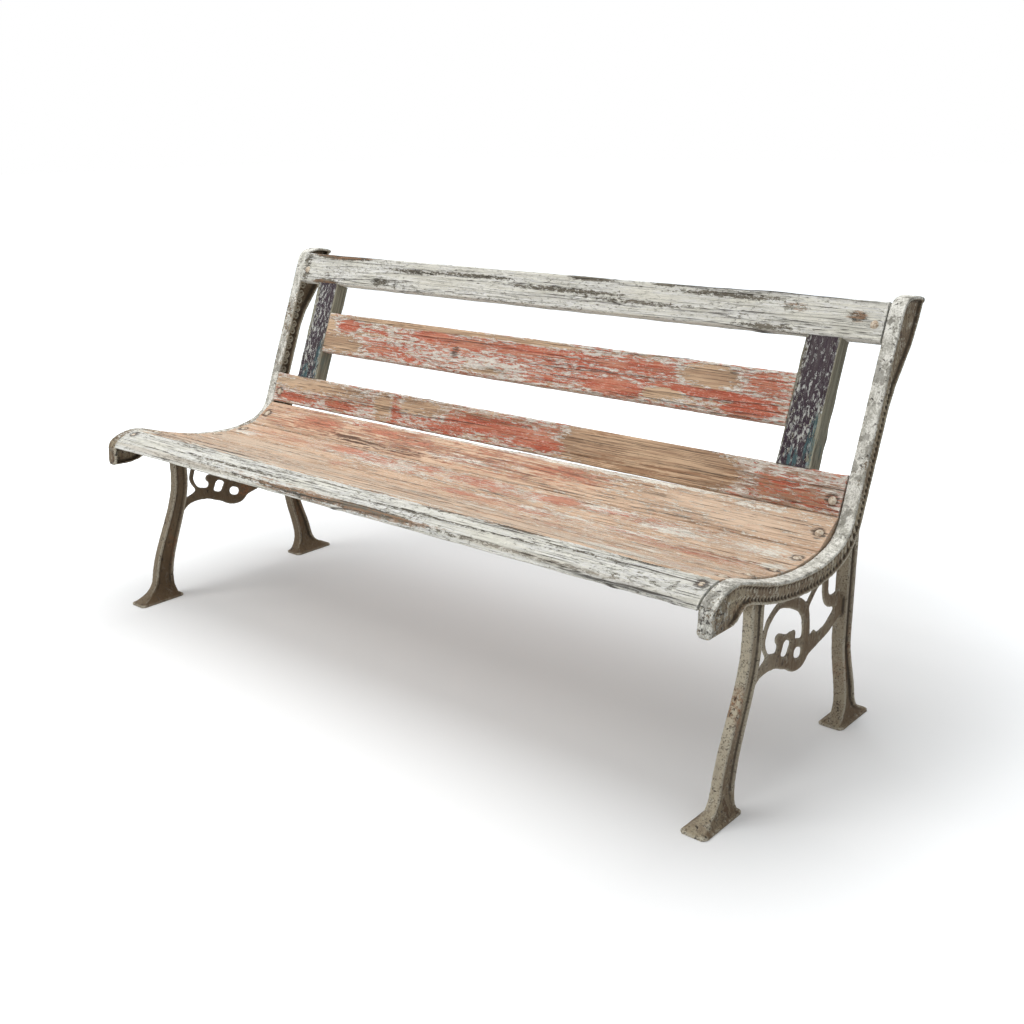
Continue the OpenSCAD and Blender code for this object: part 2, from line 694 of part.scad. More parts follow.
module rail(s, w) {
    on_curve(s + w / 2) extrude_x(-slat_end_x, slat_end_x) board_section(w, rail_t);
}
module lower_back_rail() {
    color(red_wood) centred() difference() {
        rail(lower_rail_s, lower_rail_w);
        both_ends() translate([bolt_x, 0, 0]) on_curve(lower_rail_s + lower_bolt_up) bolt_pocket();
        batten_dowel_holes();
    }
}
module top_back_rail() {
    color(old_white) centred() difference() {
        rail(top_rail_s, top_rail_w);
        both_ends() translate([bolt_x, 0, 0]) on_curve(top_rail_s + top_bolt_up) bolt_pocket();
        batten_dowel_holes();
    }
}
module middle_back_rail() {
    half = batten_x - batten_w / 2;
    color(red_wood) centred() difference() {
        on_curve(middle_rail_s + middle_rail_w / 2) extrude_x(-half, half)
            board_section(middle_rail_w, rail_t);
        middle_dowel_holes();
    }
}
module batten() {
    on_curve(batten_s) translate([batten_x - batten_w / 2, 0, -batten_t])
        cube([batten_w, batten_len, batten_t]);
}
module batten_right() {
    color(dark_paint) centred() difference() {
        batten();
        batten_dowel_holes();
        middle_dowel_holes();
    }
}
module batten_left() {
    color(dark_paint) centred() difference() {
        mirror([1, 0, 0]) batten();
        batten_dowel_holes();
        middle_dowel_holes();
    }
}

// Dowels: two in each end of a batten and two in each end of the middle rail
module at_batten_dowels() {
    both_ends() for (e = [0, 1], k = [-1, 1])
        translate([batten_x + k * dowel_pitch / 2, 0, 0])
            on_curve(batten_s + e * batten_len) translate([0, 0, -rail_t / 2])
            rotate([90, 0, 0]) children();
}
module at_middle_dowels() {
    both_ends() for (k = [-1, 1])
        on_curve(middle_rail_s + middle_rail_w / 2 + k * dowel_pitch / 2)
            translate([batten_x - batten_w / 2, 0, -rail_t / 2]) rotate([0, 90, 0]) children();
}
module dowel(extra) {
    cylinder(d = dowel_d + extra, h = dowel_len + 2 * extra, center = true);
}
module batten_dowel_holes() {
    at_batten_dowels() dowel(fit);
}
module middle_dowel_holes() {
    at_middle_dowels() dowel(fit);
}
module batten_dowels() {
    color(oak) centred() at_batten_dowels() dowel(0);
}
module middle_rail_dowels() {
    color(oak) centred() at_middle_dowels() dowel(0);
}

// Bolts with a low round head and a square neck, from the board's face to past the nut
module bolt(grip) {
    head_ball_r = (pow(bolt_head_d / 2, 2) + pow(bolt_head_h, 2)) / (2 * bolt_head_h);
    shank = grip + washer_t + nut_t + bolt_spare;
    intersection() {
        translate([0, 0, bolt_head_h - head_ball_r]) sphere(r = head_ball_r);
        cylinder(d = bolt_head_d, h = bolt_head_h + 1);
    }
    translate([-bolt_d / 2, -bolt_d / 2, 0.3 - neck_h]) cube([bolt_d, bolt_d, neck_h - 0.3]);
    translate([0, 0, -shank]) cylinder(d = bolt_d, h = shank);
}
module washer() {
    difference() {
        cylinder(d = washer_d, h = washer_t);
        translate([0, 0, -1]) cylinder(d = bolt_d + fit, h = washer_t + 2);
    }
}
module nut() {
    difference() {
        cylinder(d = nut_af / cos(30), h = nut_t, $fn = 6);
        translate([0, 0, -1]) cylinder(d = bolt_d + fit, h = nut_t + 2);
    }
}
module front_bolt_place() {
    translate([bolt_x, front_bolt_at[0], front_head_z]) children();
}
module seat_bolts() {
    color(steel) centred() both_ends() {
        front_bolt_place() bolt(front_grip);
        for (i = [1:seat_slats]) translate([bolt_x, 0, 0]) placed(seat_chord(i)) bolt(band_d);
    }
}
module back_bolts() {
    color(steel) centred() both_ends() at_back_bolts() bolt(rail_t + ledge_t);
}
module seat_washers() {
    color(steel) centred() both_ends() at_seat_bolts()
        translate([0, 0, -band_d - washer_t]) washer();
}
module back_washers() {
    color(steel) centred() both_ends() at_back_bolts()
        translate([0, 0, -rail_t - ledge_t - washer_t]) washer();
}
module seat_nuts() {
    color(steel) centred() both_ends() at_seat_bolts()
        translate([0, 0, -band_d - washer_t - nut_t]) nut();
}
module back_nuts() {
    color(steel) centred() both_ends() at_back_bolts()
        translate([0, 0, -rail_t - ledge_t - washer_t - nut_t]) nut();
}

end_frame_left();
end_frame_right();
front_slat();
seat_slat_1();
seat_slat_2();
seat_slat_3();
seat_slat_4();
seat_slat_5();
lower_back_rail();
middle_back_rail();
top_back_rail();
batten_left();
batten_right();
seat_bolts();
back_bolts();
seat_washers();
back_washers();
seat_nuts();
back_nuts();
batten_dowels();
middle_rail_dowels();
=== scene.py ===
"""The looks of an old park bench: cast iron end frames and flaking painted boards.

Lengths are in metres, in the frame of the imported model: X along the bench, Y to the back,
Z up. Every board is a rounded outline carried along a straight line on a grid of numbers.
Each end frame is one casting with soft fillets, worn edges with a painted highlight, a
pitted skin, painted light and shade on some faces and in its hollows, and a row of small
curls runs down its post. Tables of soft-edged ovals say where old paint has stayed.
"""
import math

import bpy
import numpy as np
from mathutils import Matrix, Vector


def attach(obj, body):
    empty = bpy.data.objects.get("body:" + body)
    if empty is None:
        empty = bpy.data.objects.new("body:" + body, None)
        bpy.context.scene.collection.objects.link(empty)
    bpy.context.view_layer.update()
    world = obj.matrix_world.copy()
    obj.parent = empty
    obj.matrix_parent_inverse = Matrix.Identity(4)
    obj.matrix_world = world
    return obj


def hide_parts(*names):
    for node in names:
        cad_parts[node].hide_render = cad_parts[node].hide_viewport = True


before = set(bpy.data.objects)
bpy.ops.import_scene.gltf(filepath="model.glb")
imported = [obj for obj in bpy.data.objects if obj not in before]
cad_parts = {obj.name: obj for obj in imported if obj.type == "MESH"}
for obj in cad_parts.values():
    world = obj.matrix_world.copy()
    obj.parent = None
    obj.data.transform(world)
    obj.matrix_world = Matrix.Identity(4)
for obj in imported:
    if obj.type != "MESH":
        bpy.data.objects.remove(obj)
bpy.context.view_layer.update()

# Sizes of the bench, the same as in the solids
BENCH_LEN = 1.650
RIM_W = 0.029
RIM_T = 0.007
HEAD_ROLL = 0.7 * RIM_T
WEB_X = BENCH_LEN / 2 - 0.015
NOSE_Z = 0.359
NOSE_RISE = 0.0342
NOSE_LEAN = 12
END_GAP = 0.0015
SLAT_END = BENCH_LEN / 2 - RIM_W - END_GAP
SLAT_T = 0.028
SLAT_W = 0.0825
SLAT_GAP = 0.003
SEAT_SLATS = 5
FRONT_SLAT_START = 0.0422
FRONT_SLAT_W = 0.0739
FRONT_SLAT_LEAN = 0.010
BACK_GAP = 0.007
RAIL_T = 0.025
LOWER_RAIL_W = 0.073
MIDDLE_RAIL_W = 0.099
TOP_RAIL_W = 0.073
LOWER_OPENING = 0.0725
UPPER_OPENING = 0.074
BATTEN_W = 0.070
BATTEN_T = 0.034
BATTEN_INSET = 0.109
BATTEN_X = SLAT_END - BATTEN_INSET

# Edges, grain and wear of the boards. The skin gap keeps them just inside their solids.
OUTLINE_STEP = 0.0015
CORNER_POINTS = 7
CROWN_POINTS = 40
FACE_CORNER = 0.0045
BATTEN_CORNER = 0.002
BACK_CORNER = 0.0012
BOARD_STEP = 0.006
END_EASE = 0.0012
END_CUT = 0.0010
END_RINGS = (0.03, 0.55)
SKIN_GAP = 0.00015
CRACK_LEN = 0.45
CRACK_W = 0.0011
CRACK_DEPTH = 0.0022
CRACK_DRIFT = 0.012
CRACK_WAVE = 0.0012
RIDGE_DEPTH = 0.00022
EDGE_WEAR = 0.0012
SEAT_SWELL = 0.0032
RAIL_SWELL = -0.0018
SWELL_FROM = 0.1
SWELL_OVER = 0.4

# Skin of the castings, and the box in Y and Z that holds the scrollwork
VOXEL = 0.00224
SOFT_ROUNDS = 4
LEG_ROUNDS = 2
SCROLL_ROUNDS = 9
SCROLL_Y = (-0.165, 0.13)
SCROLL_Z = (0.165, 0.34)
SCROLL_FADE = 0.012
FULL_BEND = 0.0003
PIT_DEPTH = 0.00035
PAINT_REACH = 0.009
PARCEL = 4000

# Curls on the posts
CURL_STEPS = 44
CURL_SIDES = 8
CURL_R = 0.0098
CURL_DRAWN_IN = 0.0074
CURL_THICK = 0.0023
CURL_HALF_TURNS = 3.1
CURL_PITCH = 0.0205
CURL_BELOW_RIM = 0.016
CURL_THINNING = 0.4
CURL_START = math.radians(158)
FIRST_CURL = 0.012
LAST_CURL = 0.004

# Light of the floor and the sky
FLOOR_GLOW = 0.10
FAR_GLOW = 0.9
GLOW_FROM = 0.9
GLOW_TO = 2.0
SKY_LIGHT = 0.385
FLOOR_WHITE = (0.895, 0.90, 0.90, 1)
GLOW_WHITE = (0.86, 0.93, 0.98, 1)
PLAIN_WHITE = (1, 1, 1, 1)


class RimCurve:
    """The rim's line in the Y-Z plane: straights and arcs joined without a corner.

    The heading turns evenly over each arc, so y and z are the running sums of its cosine
    and sine over short equal steps.
    """

    STEP = 0.00025
    # Radius, or length of a straight, and turn in degrees
    PIECES = (
        (NOSE_RISE / math.radians(NOSE_LEAN), NOSE_LEAN),  # lip
        (0.029, -62),  # nose
        (0.110, -46.5),  # crown
        (None, 0),  # seat, as long as its boards need
        (0.590, 18.5),  # hollow
        (0.290, 16.5),  # rise
        (0.076, 51.8),  # bend
        (0.372, 0),  # back
        (0.040, -60.3),  # head
        (0.120, -28),  # top of the head
    )
    # Index of the back among them
    BACK = 7

    def __init__(self):
        self.front_end = FRONT_SLAT_START + FRONT_SLAT_W
        seat_len = self.front_end + SEAT_SLATS * (SLAT_W + SLAT_GAP) + BACK_GAP
        lengths = [r * abs(math.radians(turn)) if turn else r for r, turn in self.PIECES]
        seat_run = seat_len - sum(x for x in lengths[:self.BACK] if x)
        lengths = [seat_run if x is None else x for x in lengths]
        starts = np.concatenate([[0], np.cumsum(lengths)])
        turned = np.concatenate([[0], np.cumsum([turn for _, turn in self.PIECES])])
        self.back_start = starts[self.BACK]
        self.s = np.arange(0, starts[-1] + self.STEP, self.STEP)
        self.heading = np.radians(np.interp(self.s, starts, 90 - NOSE_LEAN + turned))
        middle = (self.heading[1:] + self.heading[:-1]) / 2
        self.y = np.concatenate([[0], np.cumsum(np.cos(middle) * self.STEP)])
        self.z = np.concatenate([[0], np.cumsum(np.sin(middle) * self.STEP)]) + NOSE_Z
        self.y -= (self.y[-1] + HEAD_ROLL * np.sin(self.heading[-1]) + HEAD_ROLL) / 2

    def at(self, s):
        """Y, z and heading at path length s."""
        return (np.interp(s, self.s, self.y), np.interp(s, self.s, self.z),
                np.interp(s, self.s, self.heading))

    def off(self, s, depth):
        """The point at a depth behind the rim's face."""
        y, z, heading = self.at(s)
        return y + depth * np.sin(heading), z - depth * np.cos(heading)

    def chord(self, s, width):
        """Middle and slope of a flat board whose two edges touch the curve."""
        y0, z0 = self.off(s - width / 2, 0)
        y1, z1 = self.off(s + width / 2, 0)
        return (y0 + y1) / 2, (z0 + z1) / 2, math.atan2(z1 - z0, y1 - y0)


curve = RimCurve()
LOWER_RAIL_S = curve.back_start - 0.001
BATTEN_S = LOWER_RAIL_S + LOWER_RAIL_W
MIDDLE_RAIL_S = BATTEN_S + LOWER_OPENING
TOP_RAIL_S = MIDDLE_RAIL_S + MIDDLE_RAIL_W + UPPER_OPENING
BATTEN_LEN = LOWER_OPENING + MIDDLE_RAIL_W + UPPER_OPENING


def lattice(ix, iy, iz, seed):
    """A fixed random number from 0 to 1 for every whole-number place, by mixing its bits."""
    h = (ix * 374761393 + iy * 668265263 + iz * 2147483647 + seed * 144269504) & 0xFFFFFFFF
    h = ((h ^ (h >> 13)) * 1274126177) & 0xFFFFFFFF
    return ((h ^ (h >> 16)) & 0xFFFF) / 0xFFFF


def noise(points, per_metre, seed=0):
    """Smooth noise from -1 to 1: lattice numbers blended along three axes by 3t2 - 2t3."""
    p = points * np.asarray(per_metre, float)
    base = np.floor(p)
    t = p - base
    t = t * t * (3 - 2 * t)
    i = base.astype(np.int64)
    total = 0.0
    for cx in (0, 1):
        for cy in (0, 1):
            for cz in (0, 1):
                weight = (np.where(cx, t[..., 0], 1 - t[..., 0])
                          * np.where(cy, t[..., 1], 1 - t[..., 1])
                          * np.where(cz, t[..., 2], 1 - t[..., 2]))
                total = total + weight * lattice(i[..., 0] + cx, i[..., 1] + cy,
                                                 i[..., 2] + cz, seed)
    return 2 * total - 1


def fractal(points, per_metre, octaves, seed=0):
    """Noise summed over octaves, each twice as fine and half as strong."""
    scale = np.asarray(per_metre, float)
    parts = [noise(points, scale * 2 ** k, seed + 17 * k) / 2 ** k for k in range(octaves)]
    return sum(parts) / (2 - 2.0 ** (1 - octaves))


def rise(value, start, width):
    """0 up to start, then straight up to 1 over a width."""
    return np.clip((value - start) / width, 0, 1)


def fall(value, end, width):
    """0 from end on, and straight up to 1 over a width below it."""
    return np.clip((end - value) / width, 0, 1)


def within(value, low, high, fade):
    """1 between low and high, and straight down to 0 at both over the width fade."""
    return np.clip(np.minimum(value - low, high - value) / fade, 0, 1)


def patch_field(points, patches):
    """Sum of soft-edged ovals, each amount * exp(-u2) with u the squared distance in half
    widths. A patch is (along, across, half length, half width, amount), in millimetres."""
    total = np.zeros(len(points))
    for x0, a0, half_x, half_a, amount in patches:
        u = (((1000 * points[:, 0] - x0) / half_x) ** 2
             + ((1000 * points[:, 1] - a0) / half_a) ** 2)
        total += amount * np.exp(-u * u)
    return total


def make_mesh(name, vertices, faces):
    """Puts vertices and faces into a new smooth object at the origin."""
    mesh = bpy.data.meshes.new(name)
    mesh.from_pydata(vertices, [], faces)
    mesh.update()
    mesh.shade_smooth()
    return make_object(name, mesh)


def make_object(name, data):
    """A new object in the scene."""
    made = bpy.data.objects.new(name, data)
    bpy.context.scene.collection.objects.link(made)
    return made


def read(items, key, width, kind=np.float32):
    """One row of numbers for each item of a mesh."""
    values = np.empty(len(items) * width, kind)
    items.foreach_get(key, values)
    return values.reshape(-1, width)


def put_attribute(piece, name, values):
    """Stores one number or one vector for each vertex."""
    kind = "FLOAT_VECTOR" if values.ndim == 2 else "FLOAT"
    layer = piece.data.attributes.new(name, kind, "POINT")
    key = "vector" if values.ndim == 2 else "value"
    layer.data.foreach_set(key, np.ascontiguousarray(values, np.float32).ravel())


def outwards(piece):
    """Turns a closed mesh's faces outwards if its signed volume is negative."""
    mesh = piece.data
    mesh.calc_loop_triangles()
    co = read(mesh.vertices, "co", 3).astype(float)
    corners = read(mesh.loop_triangles, "vertices", 3, np.int32)
    a, b, c = (co[corners[:, k]] for k in range(3))
    if np.einsum("ij,ij->i", a, np.cross(b, c)).sum() < 0:
        mesh.flip_normals()


def dress(piece, node, material):
    """Gives a piece its material and its place in the model."""
    piece.data.materials.append(material)
    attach(piece, "root")
    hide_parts(node)


def sleeve_faces(rows, cols):
    """Quads round a grid whose rows are closed rings, and a cap on each end ring."""
    index = np.arange(rows * cols).reshape(rows, cols)
    after = np.roll(index, -1, 1)
    quads = np.stack([index[:-1], after[:-1], after[1:], index[1:]], -1).reshape(-1, 4)
    return quads.tolist() + [index[0][::-1].tolist(), index[-1].tolist()]


def closed_section(corners):
    """A closed outline with softened corners, at about even spacing.

    corners holds (across, depth, cut, step): each corner is replaced by a parabola that
    starts and ends at the distance cut from it, and step times OUTLINE_STEP is the distance
    between points on the side that follows.
    """
    points = []
    n = len(corners)
    for k in range(n):
        here = np.array(corners[k][:2])
        before = np.array(corners[k - 1][:2])
        after = np.array(corners[(k + 1) % n][:2])
        cut, step = corners[k][2:]
        if cut > 0:
            a = here + (before - here) / np.linalg.norm(before - here) * cut
            b = here + (after - here) / np.linalg.norm(after - here) * cut
            t = np.linspace(0, 1, CORNER_POINTS)[:, None]
            points.extend((1 - t) ** 2 * a + 2 * t * (1 - t) * here + t ** 2 * b)
        else:
            b = here
            points.append(here)
        next_cut = corners[(k + 1) % n][2]
        end = after + (here - after) / np.linalg.norm(here - after) * next_cut
        count = max(int(np.linalg.norm(end - b) / (OUTLINE_STEP * step)), 1)
        for j in range(1, count):
            points.append(b + (end - b) * j / count)
    return np.array(points)


def section_normals(section):
    """Outward unit normals of an outline that runs clockwise seen along the board."""
    d = np.roll(section, -1, 0) - np.roll(section, 1, 0)
    d /= np.linalg.norm(d, axis=1)[:, None]
    return np.stack([-d[:, 1], d[:, 0]], 1)


def flat_section(width, thickness, corner=FACE_CORNER):
    """A rectangle whose front corners are rounder than its back ones."""
    half = width / 2
    return closed_section([
        (-half, 0, corner, 1), (half, 0, corner, 2), (half, thickness, BACK_CORNER, 4),
        (-half, thickness, BACK_CORNER, 2)])


def front_section():
    """The front slat's outline: the crown of the rim, a plumb back and a level underside."""
    s = np.linspace(FRONT_SLAT_START, curve.front_end, CROWN_POINTS)
    y, z = curve.off(s, 0)
    under_z = z[-1] - SLAT_T
    under_y = y[-1] + SLAT_T * math.tan(seat_place(1)[2])
    corners = [(y[0], -z[0], 0.004, 1)]
    corners += [(y[k], -z[k], 0, 1) for k in range(2, CROWN_POINTS - 2)]
    corners += [(y[-1], -z[-1], 0.003, 2), (under_y, -under_z, BACK_CORNER, 4),
                (y[0] + FRONT_SLAT_LEAN, -under_z, 0.005, 2),
                (y[0] + 0.003, -under_z - 0.0021, 0.0015, 1)]
    return closed_section(corners)


def seat_place(i):
    """Middle and slope of flat seat slat i, counted from the front."""
    s = curve.front_end + SLAT_GAP + SLAT_W / 2 + (i - 1) * (SLAT_W + SLAT_GAP)
    return curve.chord(s, SLAT_W)


def level_place(y, z, slope):
    """Turns (along, across, depth) into X Y Z for a board along the bench, face up."""
    c, s = math.cos(slope), math.sin(slope)

    def turn(along, across, depth):
        return np.stack([along, y + across * c + depth * s, z + across * s - depth * c], 1)
    return turn


def upright_place(x, s):
    """Turns (along, across, depth) into X Y Z for a batten that runs up the back."""
    y, z, heading = curve.at(s)
    c, h = math.cos(heading), math.sin(heading)

    def turn(along, across, depth):
        return np.stack([x + across, y + along * c + depth * h, z + along * h - depth * c], 1)
    return turn


def front_place(along, across, depth):
    """The front slat's outline already holds Y and -Z."""
    return np.stack([along, across, -depth], 1)


def crack_depth(x, across, seed, count):
    """Splits along the grain: each is a slender wandering groove that fades at its ends."""
    rng = np.random.default_rng(seed)
    total = np.zeros(x.shape)
    for _ in range(count):
        x0 = rng.uniform(x.min(), x.max())
        a0 = rng.uniform(across.min(), across.max())
        half = CRACK_LEN * rng.uniform(0.4, 1.6) / 2
        drift = rng.uniform(-CRACK_DRIFT, CRACK_DRIFT)
        phase = rng.uniform(0, 6.28)
        u = (x - x0) / half
        centre = a0 + drift * u + CRACK_WAVE * np.sin(u * 5 + phase)
        fade = np.clip(1 - u * u, 0, 1)
        gap = CRACK_W * rng.uniform(0.5, 1.3) * np.sqrt(fade) + 1e-6
        total = np.maximum(total, CRACK_DEPTH * rng.uniform(0.4, 1) * fade
                           * np.clip(1 - np.abs(across - centre) / gap, 0, 1))
    return total


def board(name, node, slot, section, half_len, frame_of, seed, patches, cracks=14, swell=0.0):
    """A board: its outline carried along the grain, with splits, worn edges and end faces.

    The point at (along, around) is the outline's point there, pushed inwards by the depth
    of splits, grain ridges and edge wear. frame_of turns (along, across, depth) into X Y Z.
    swell widens the right half of the board at one edge.
    """
    x = np.linspace(-half_len, half_len, max(int(2 * half_len / BOARD_STEP), 24) + 1)
    x = np.concatenate([[x[0]], [x[0] + END_EASE], x[1:-1], [x[-1] - END_EASE], [x[-1]]])
    along, across = np.meshgrid(x, section[:, 0], indexing="ij")
    depth = np.broadcast_to(section[:, 1], along.shape)
    local = np.stack([along, across, depth], -1)
    normals = section_normals(section)
    turn = np.linalg.norm(np.roll(normals, -2, 0) - np.roll(normals, 2, 0), axis=1)
    edge = np.clip(turn, 0, 1)[None, :]
    splits = crack_depth(along, across, seed, cracks)
    ridges = RIDGE_DEPTH * (1 + fractal(local, (9, 420, 420), 2, seed))
    wear = EDGE_WEAR * edge * np.clip(fractal(local, (26, 60, 60), 3, seed + 5) + 0.35, 0, 1)
    to_end = np.minimum(along - x[0], x[-1] - along)
    ends = END_CUT * np.clip(1 - to_end / (2 * END_EASE), 0, 1)
    sunk = splits + ridges + wear + ends + SKIN_GAP
    grown = np.clip(np.sign(swell) * across / section[:, 0].max(), 0, 1) ** 3
    grown = swell * rise(along, SWELL_FROM, SWELL_OVER) * grown
    body = np.stack([along, across - normals[:, 0] * sunk + grown,
                     depth - normals[:, 1] * sunk], -1)
    grid = np.concatenate([end_rings(body[0], section), body,
                           end_rings(body[-1], section)[::-1]])
    points = grid.reshape(-1, 3)
    piece = make_mesh(name, frame_of(*points.T), sleeve_faces(*grid.shape[:2]))
    outwards(piece)
    put_attribute(piece, "grain", points + np.array([seed * 3.7, seed * 0.31, 0]))
    for key in ("white", "red", "bare", "dark", "stain"):
        put_attribute(piece, key, patch_field(points, patches.get(key, ())))
    split = np.clip(splits / CRACK_DEPTH, 0, 1)
    put_attribute(piece, "split", np.concatenate([split[0], split[0], split.ravel(),
                                                  split[-1], split[-1]]))
    dress(piece, node, WOODS[slot])


def end_rings(ring, section):
    """A board's end ring drawn in towards its middle, to the shares in END_RINGS."""
    middle = section.mean(0)
    rings = np.stack([ring] * len(END_RINGS))
    rings[:, :, 1:] = middle + (ring[:, 1:] - middle) * np.reshape(END_RINGS, (-1, 1, 1))
    return rings


def rail(name, node, slot, s, width, half_len, seed, patches, cracks, swell=0.0):
    """A board of the back, flat against the rim's straight from path length s upwards."""
    board(name, node, slot, flat_section(width, RAIL_T), half_len,
          level_place(*curve.at(s + width / 2)), seed, patches, cracks, swell)


# Colours of the iron, and of the paint on its rim
IRON = (0.175, 0.125, 0.078)
IRON_LIGHT = (0.40, 0.345, 0.24)
IRON_RUN = (0.12, 0.078, 0.046)
IRON_PALE_AND_LIT = (0.62, 0.56, 0.43)
IRON_SCUFF = (0.64, 0.60, 0.48)
IRON_BROWN_AND_SHADE = (0.105, 0.068, 0.033)
IRON_EDGE_WEAR_AND_HIGHLIGHT = (0.56, 0.52, 0.42)
IRON_PIT = (0.085, 0.056, 0.036)
RUST_RED = (0.30, 0.13, 0.05)
PAINT_WHITE = (0.80, 0.79, 0.73)
PAINT_GREY = (0.40, 0.39, 0.34)
PAINT_GONE = (0.15, 0.14, 0.115)
FLECK = (0.035, 0.028, 0.024)
HOLLOW_DIRT_AND_SHADE = (0.045, 0.034, 0.022)
STEEL = (0.60, 0.53, 0.43)
STEEL_RUST = (0.36, 0.27, 0.19)

# Colours of the wood and its dirt
OAK = (0.56, 0.42, 0.27)
OAK_DARK = (0.38, 0.26, 0.16)
WASH = (0.60, 0.54, 0.45)
GRIME = (0.10, 0.08, 0.06)
CRACK_DARK = (0.05, 0.042, 0.034)
DARK_DIRT_AND_SHADE = (0.06, 0.045, 0.035)


class Shader:
    """A short way to write the nodes of a material or a world."""

    def __init__(self, owner, output="OutputMaterial"):
        self.owner = owner
        owner.use_nodes = True
        self.tree = owner.node_tree
        self.tree.nodes.clear()
        self.output = self.node(output)

    def node(self, kind, **settings):
        made = self.tree.nodes.new("ShaderNode" + kind)
        for key, value in settings.items():
            setattr(made, key, value)
        return made

    def put(self, socket, value):
        """Links a socket's output, or sets a number or a colour."""
        if isinstance(value, bpy.types.NodeSocket):
            self.tree.links.new(value, socket)
        elif isinstance(value, tuple) and len(value) == 3 and socket.type == "RGBA":
            socket.default_value = (*value, 1)
        else:
            socket.default_value = value

    def attribute(self, name, vector=False):
        made = self.node("Attribute", attribute_name=name)
        return made.outputs["Vector" if vector else "Fac"]

    def place(self):
        return self.node("TexCoord").outputs["Object"]

    def stretch(self, vector, x, y, z, shift=0.0):
        made = self.node("Mapping")
        self.put(made.inputs["Vector"], vector)
        made.inputs["Location"].default_value = (shift, shift, shift)
        made.inputs["Scale"].default_value = (x, y, z)
        return made.outputs["Vector"]

    def noise(self, vector, detail=4, rough=0.55, warp=0.0, scale=1.0):
        made = self.node("TexNoise")
        self.put(made.inputs["Vector"], vector)
        self.put(made.inputs["Scale"], scale)
        self.put(made.inputs["Detail"], detail)
        self.put(made.inputs["Roughness"], rough)
        self.put(made.inputs["Distortion"], warp)
        return made.outputs["Fac"]

    def maths(self, operation, a, b=0.0):
        made = self.node("Math", operation=operation)
        self.put(made.inputs[0], a)
        self.put(made.inputs[1], b)
        return made.outputs[0]

    def times(self, a, b):
        return self.maths("MULTIPLY", a, b)

    def sum(self, *terms):
        """Adds sockets and numbers; a pair (socket, factor) is multiplied first."""
        total = None
        for term in terms:
            if isinstance(term, tuple):
                term = self.times(*term)
            total = term if total is None else self.maths("ADD", total, term)
        return total

    def step(self, value, low, high):
        """From 0 at low to 1 at high, eased."""
        made = self.node("MapRange", interpolation_type="SMOOTHSTEP")
        self.put(made.inputs["Value"], value)
        self.put(made.inputs["From Min"], low)
        self.put(made.inputs["From Max"], high)
        return made.outputs["Result"]

    def mix(self, factor, a, b):
        made = self.node("Mix", data_type="RGBA")
        self.put(made.inputs[0], factor)
        self.put(made.inputs[6], a)
        self.put(made.inputs[7], b)
        return made.outputs[2]

    def seen(self):
        """1 for rays from the camera, off a gloss or through glass, and 0 for others."""
        rays = self.node("LightPath").outputs
        indirect = self.maths("MAXIMUM", rays["Is Glossy Ray"], rays["Is Transmission Ray"])
        return self.maths("MAXIMUM", rays["Is Camera Ray"], indirect)

    def finish(self, color, roughness, height, distance, metallic=0.0):
        """A rough surface of a colour, with a bump from a height."""
        bump = self.node("Bump")
        bump.inputs["Distance"].default_value = distance
        bump.inputs["Strength"].default_value = 1.0
        self.put(bump.inputs["Height"], height)
        bsdf = self.node("BsdfPrincipled")
        self.put(bsdf.inputs["Base Color"], color)
        self.put(bsdf.inputs["Roughness"], roughness)
        self.put(bsdf.inputs["Metallic"], metallic)
        bsdf.inputs["Specular IOR Level"].default_value = 0.3
        self.put(bsdf.inputs["Normal"], bump.outputs["Normal"])
        self.put(self.output.inputs["Surface"], bsdf.outputs["BSDF"])
        return self.owner


def dimmed(color, share):
    """A colour times a share of its light."""
    return tuple(share * v for v in color)


def between(a, b, share):
    """The colour that lies a share of the way from a to b."""
    return tuple((1 - share) * u + share * v for u, v in zip(a, b))


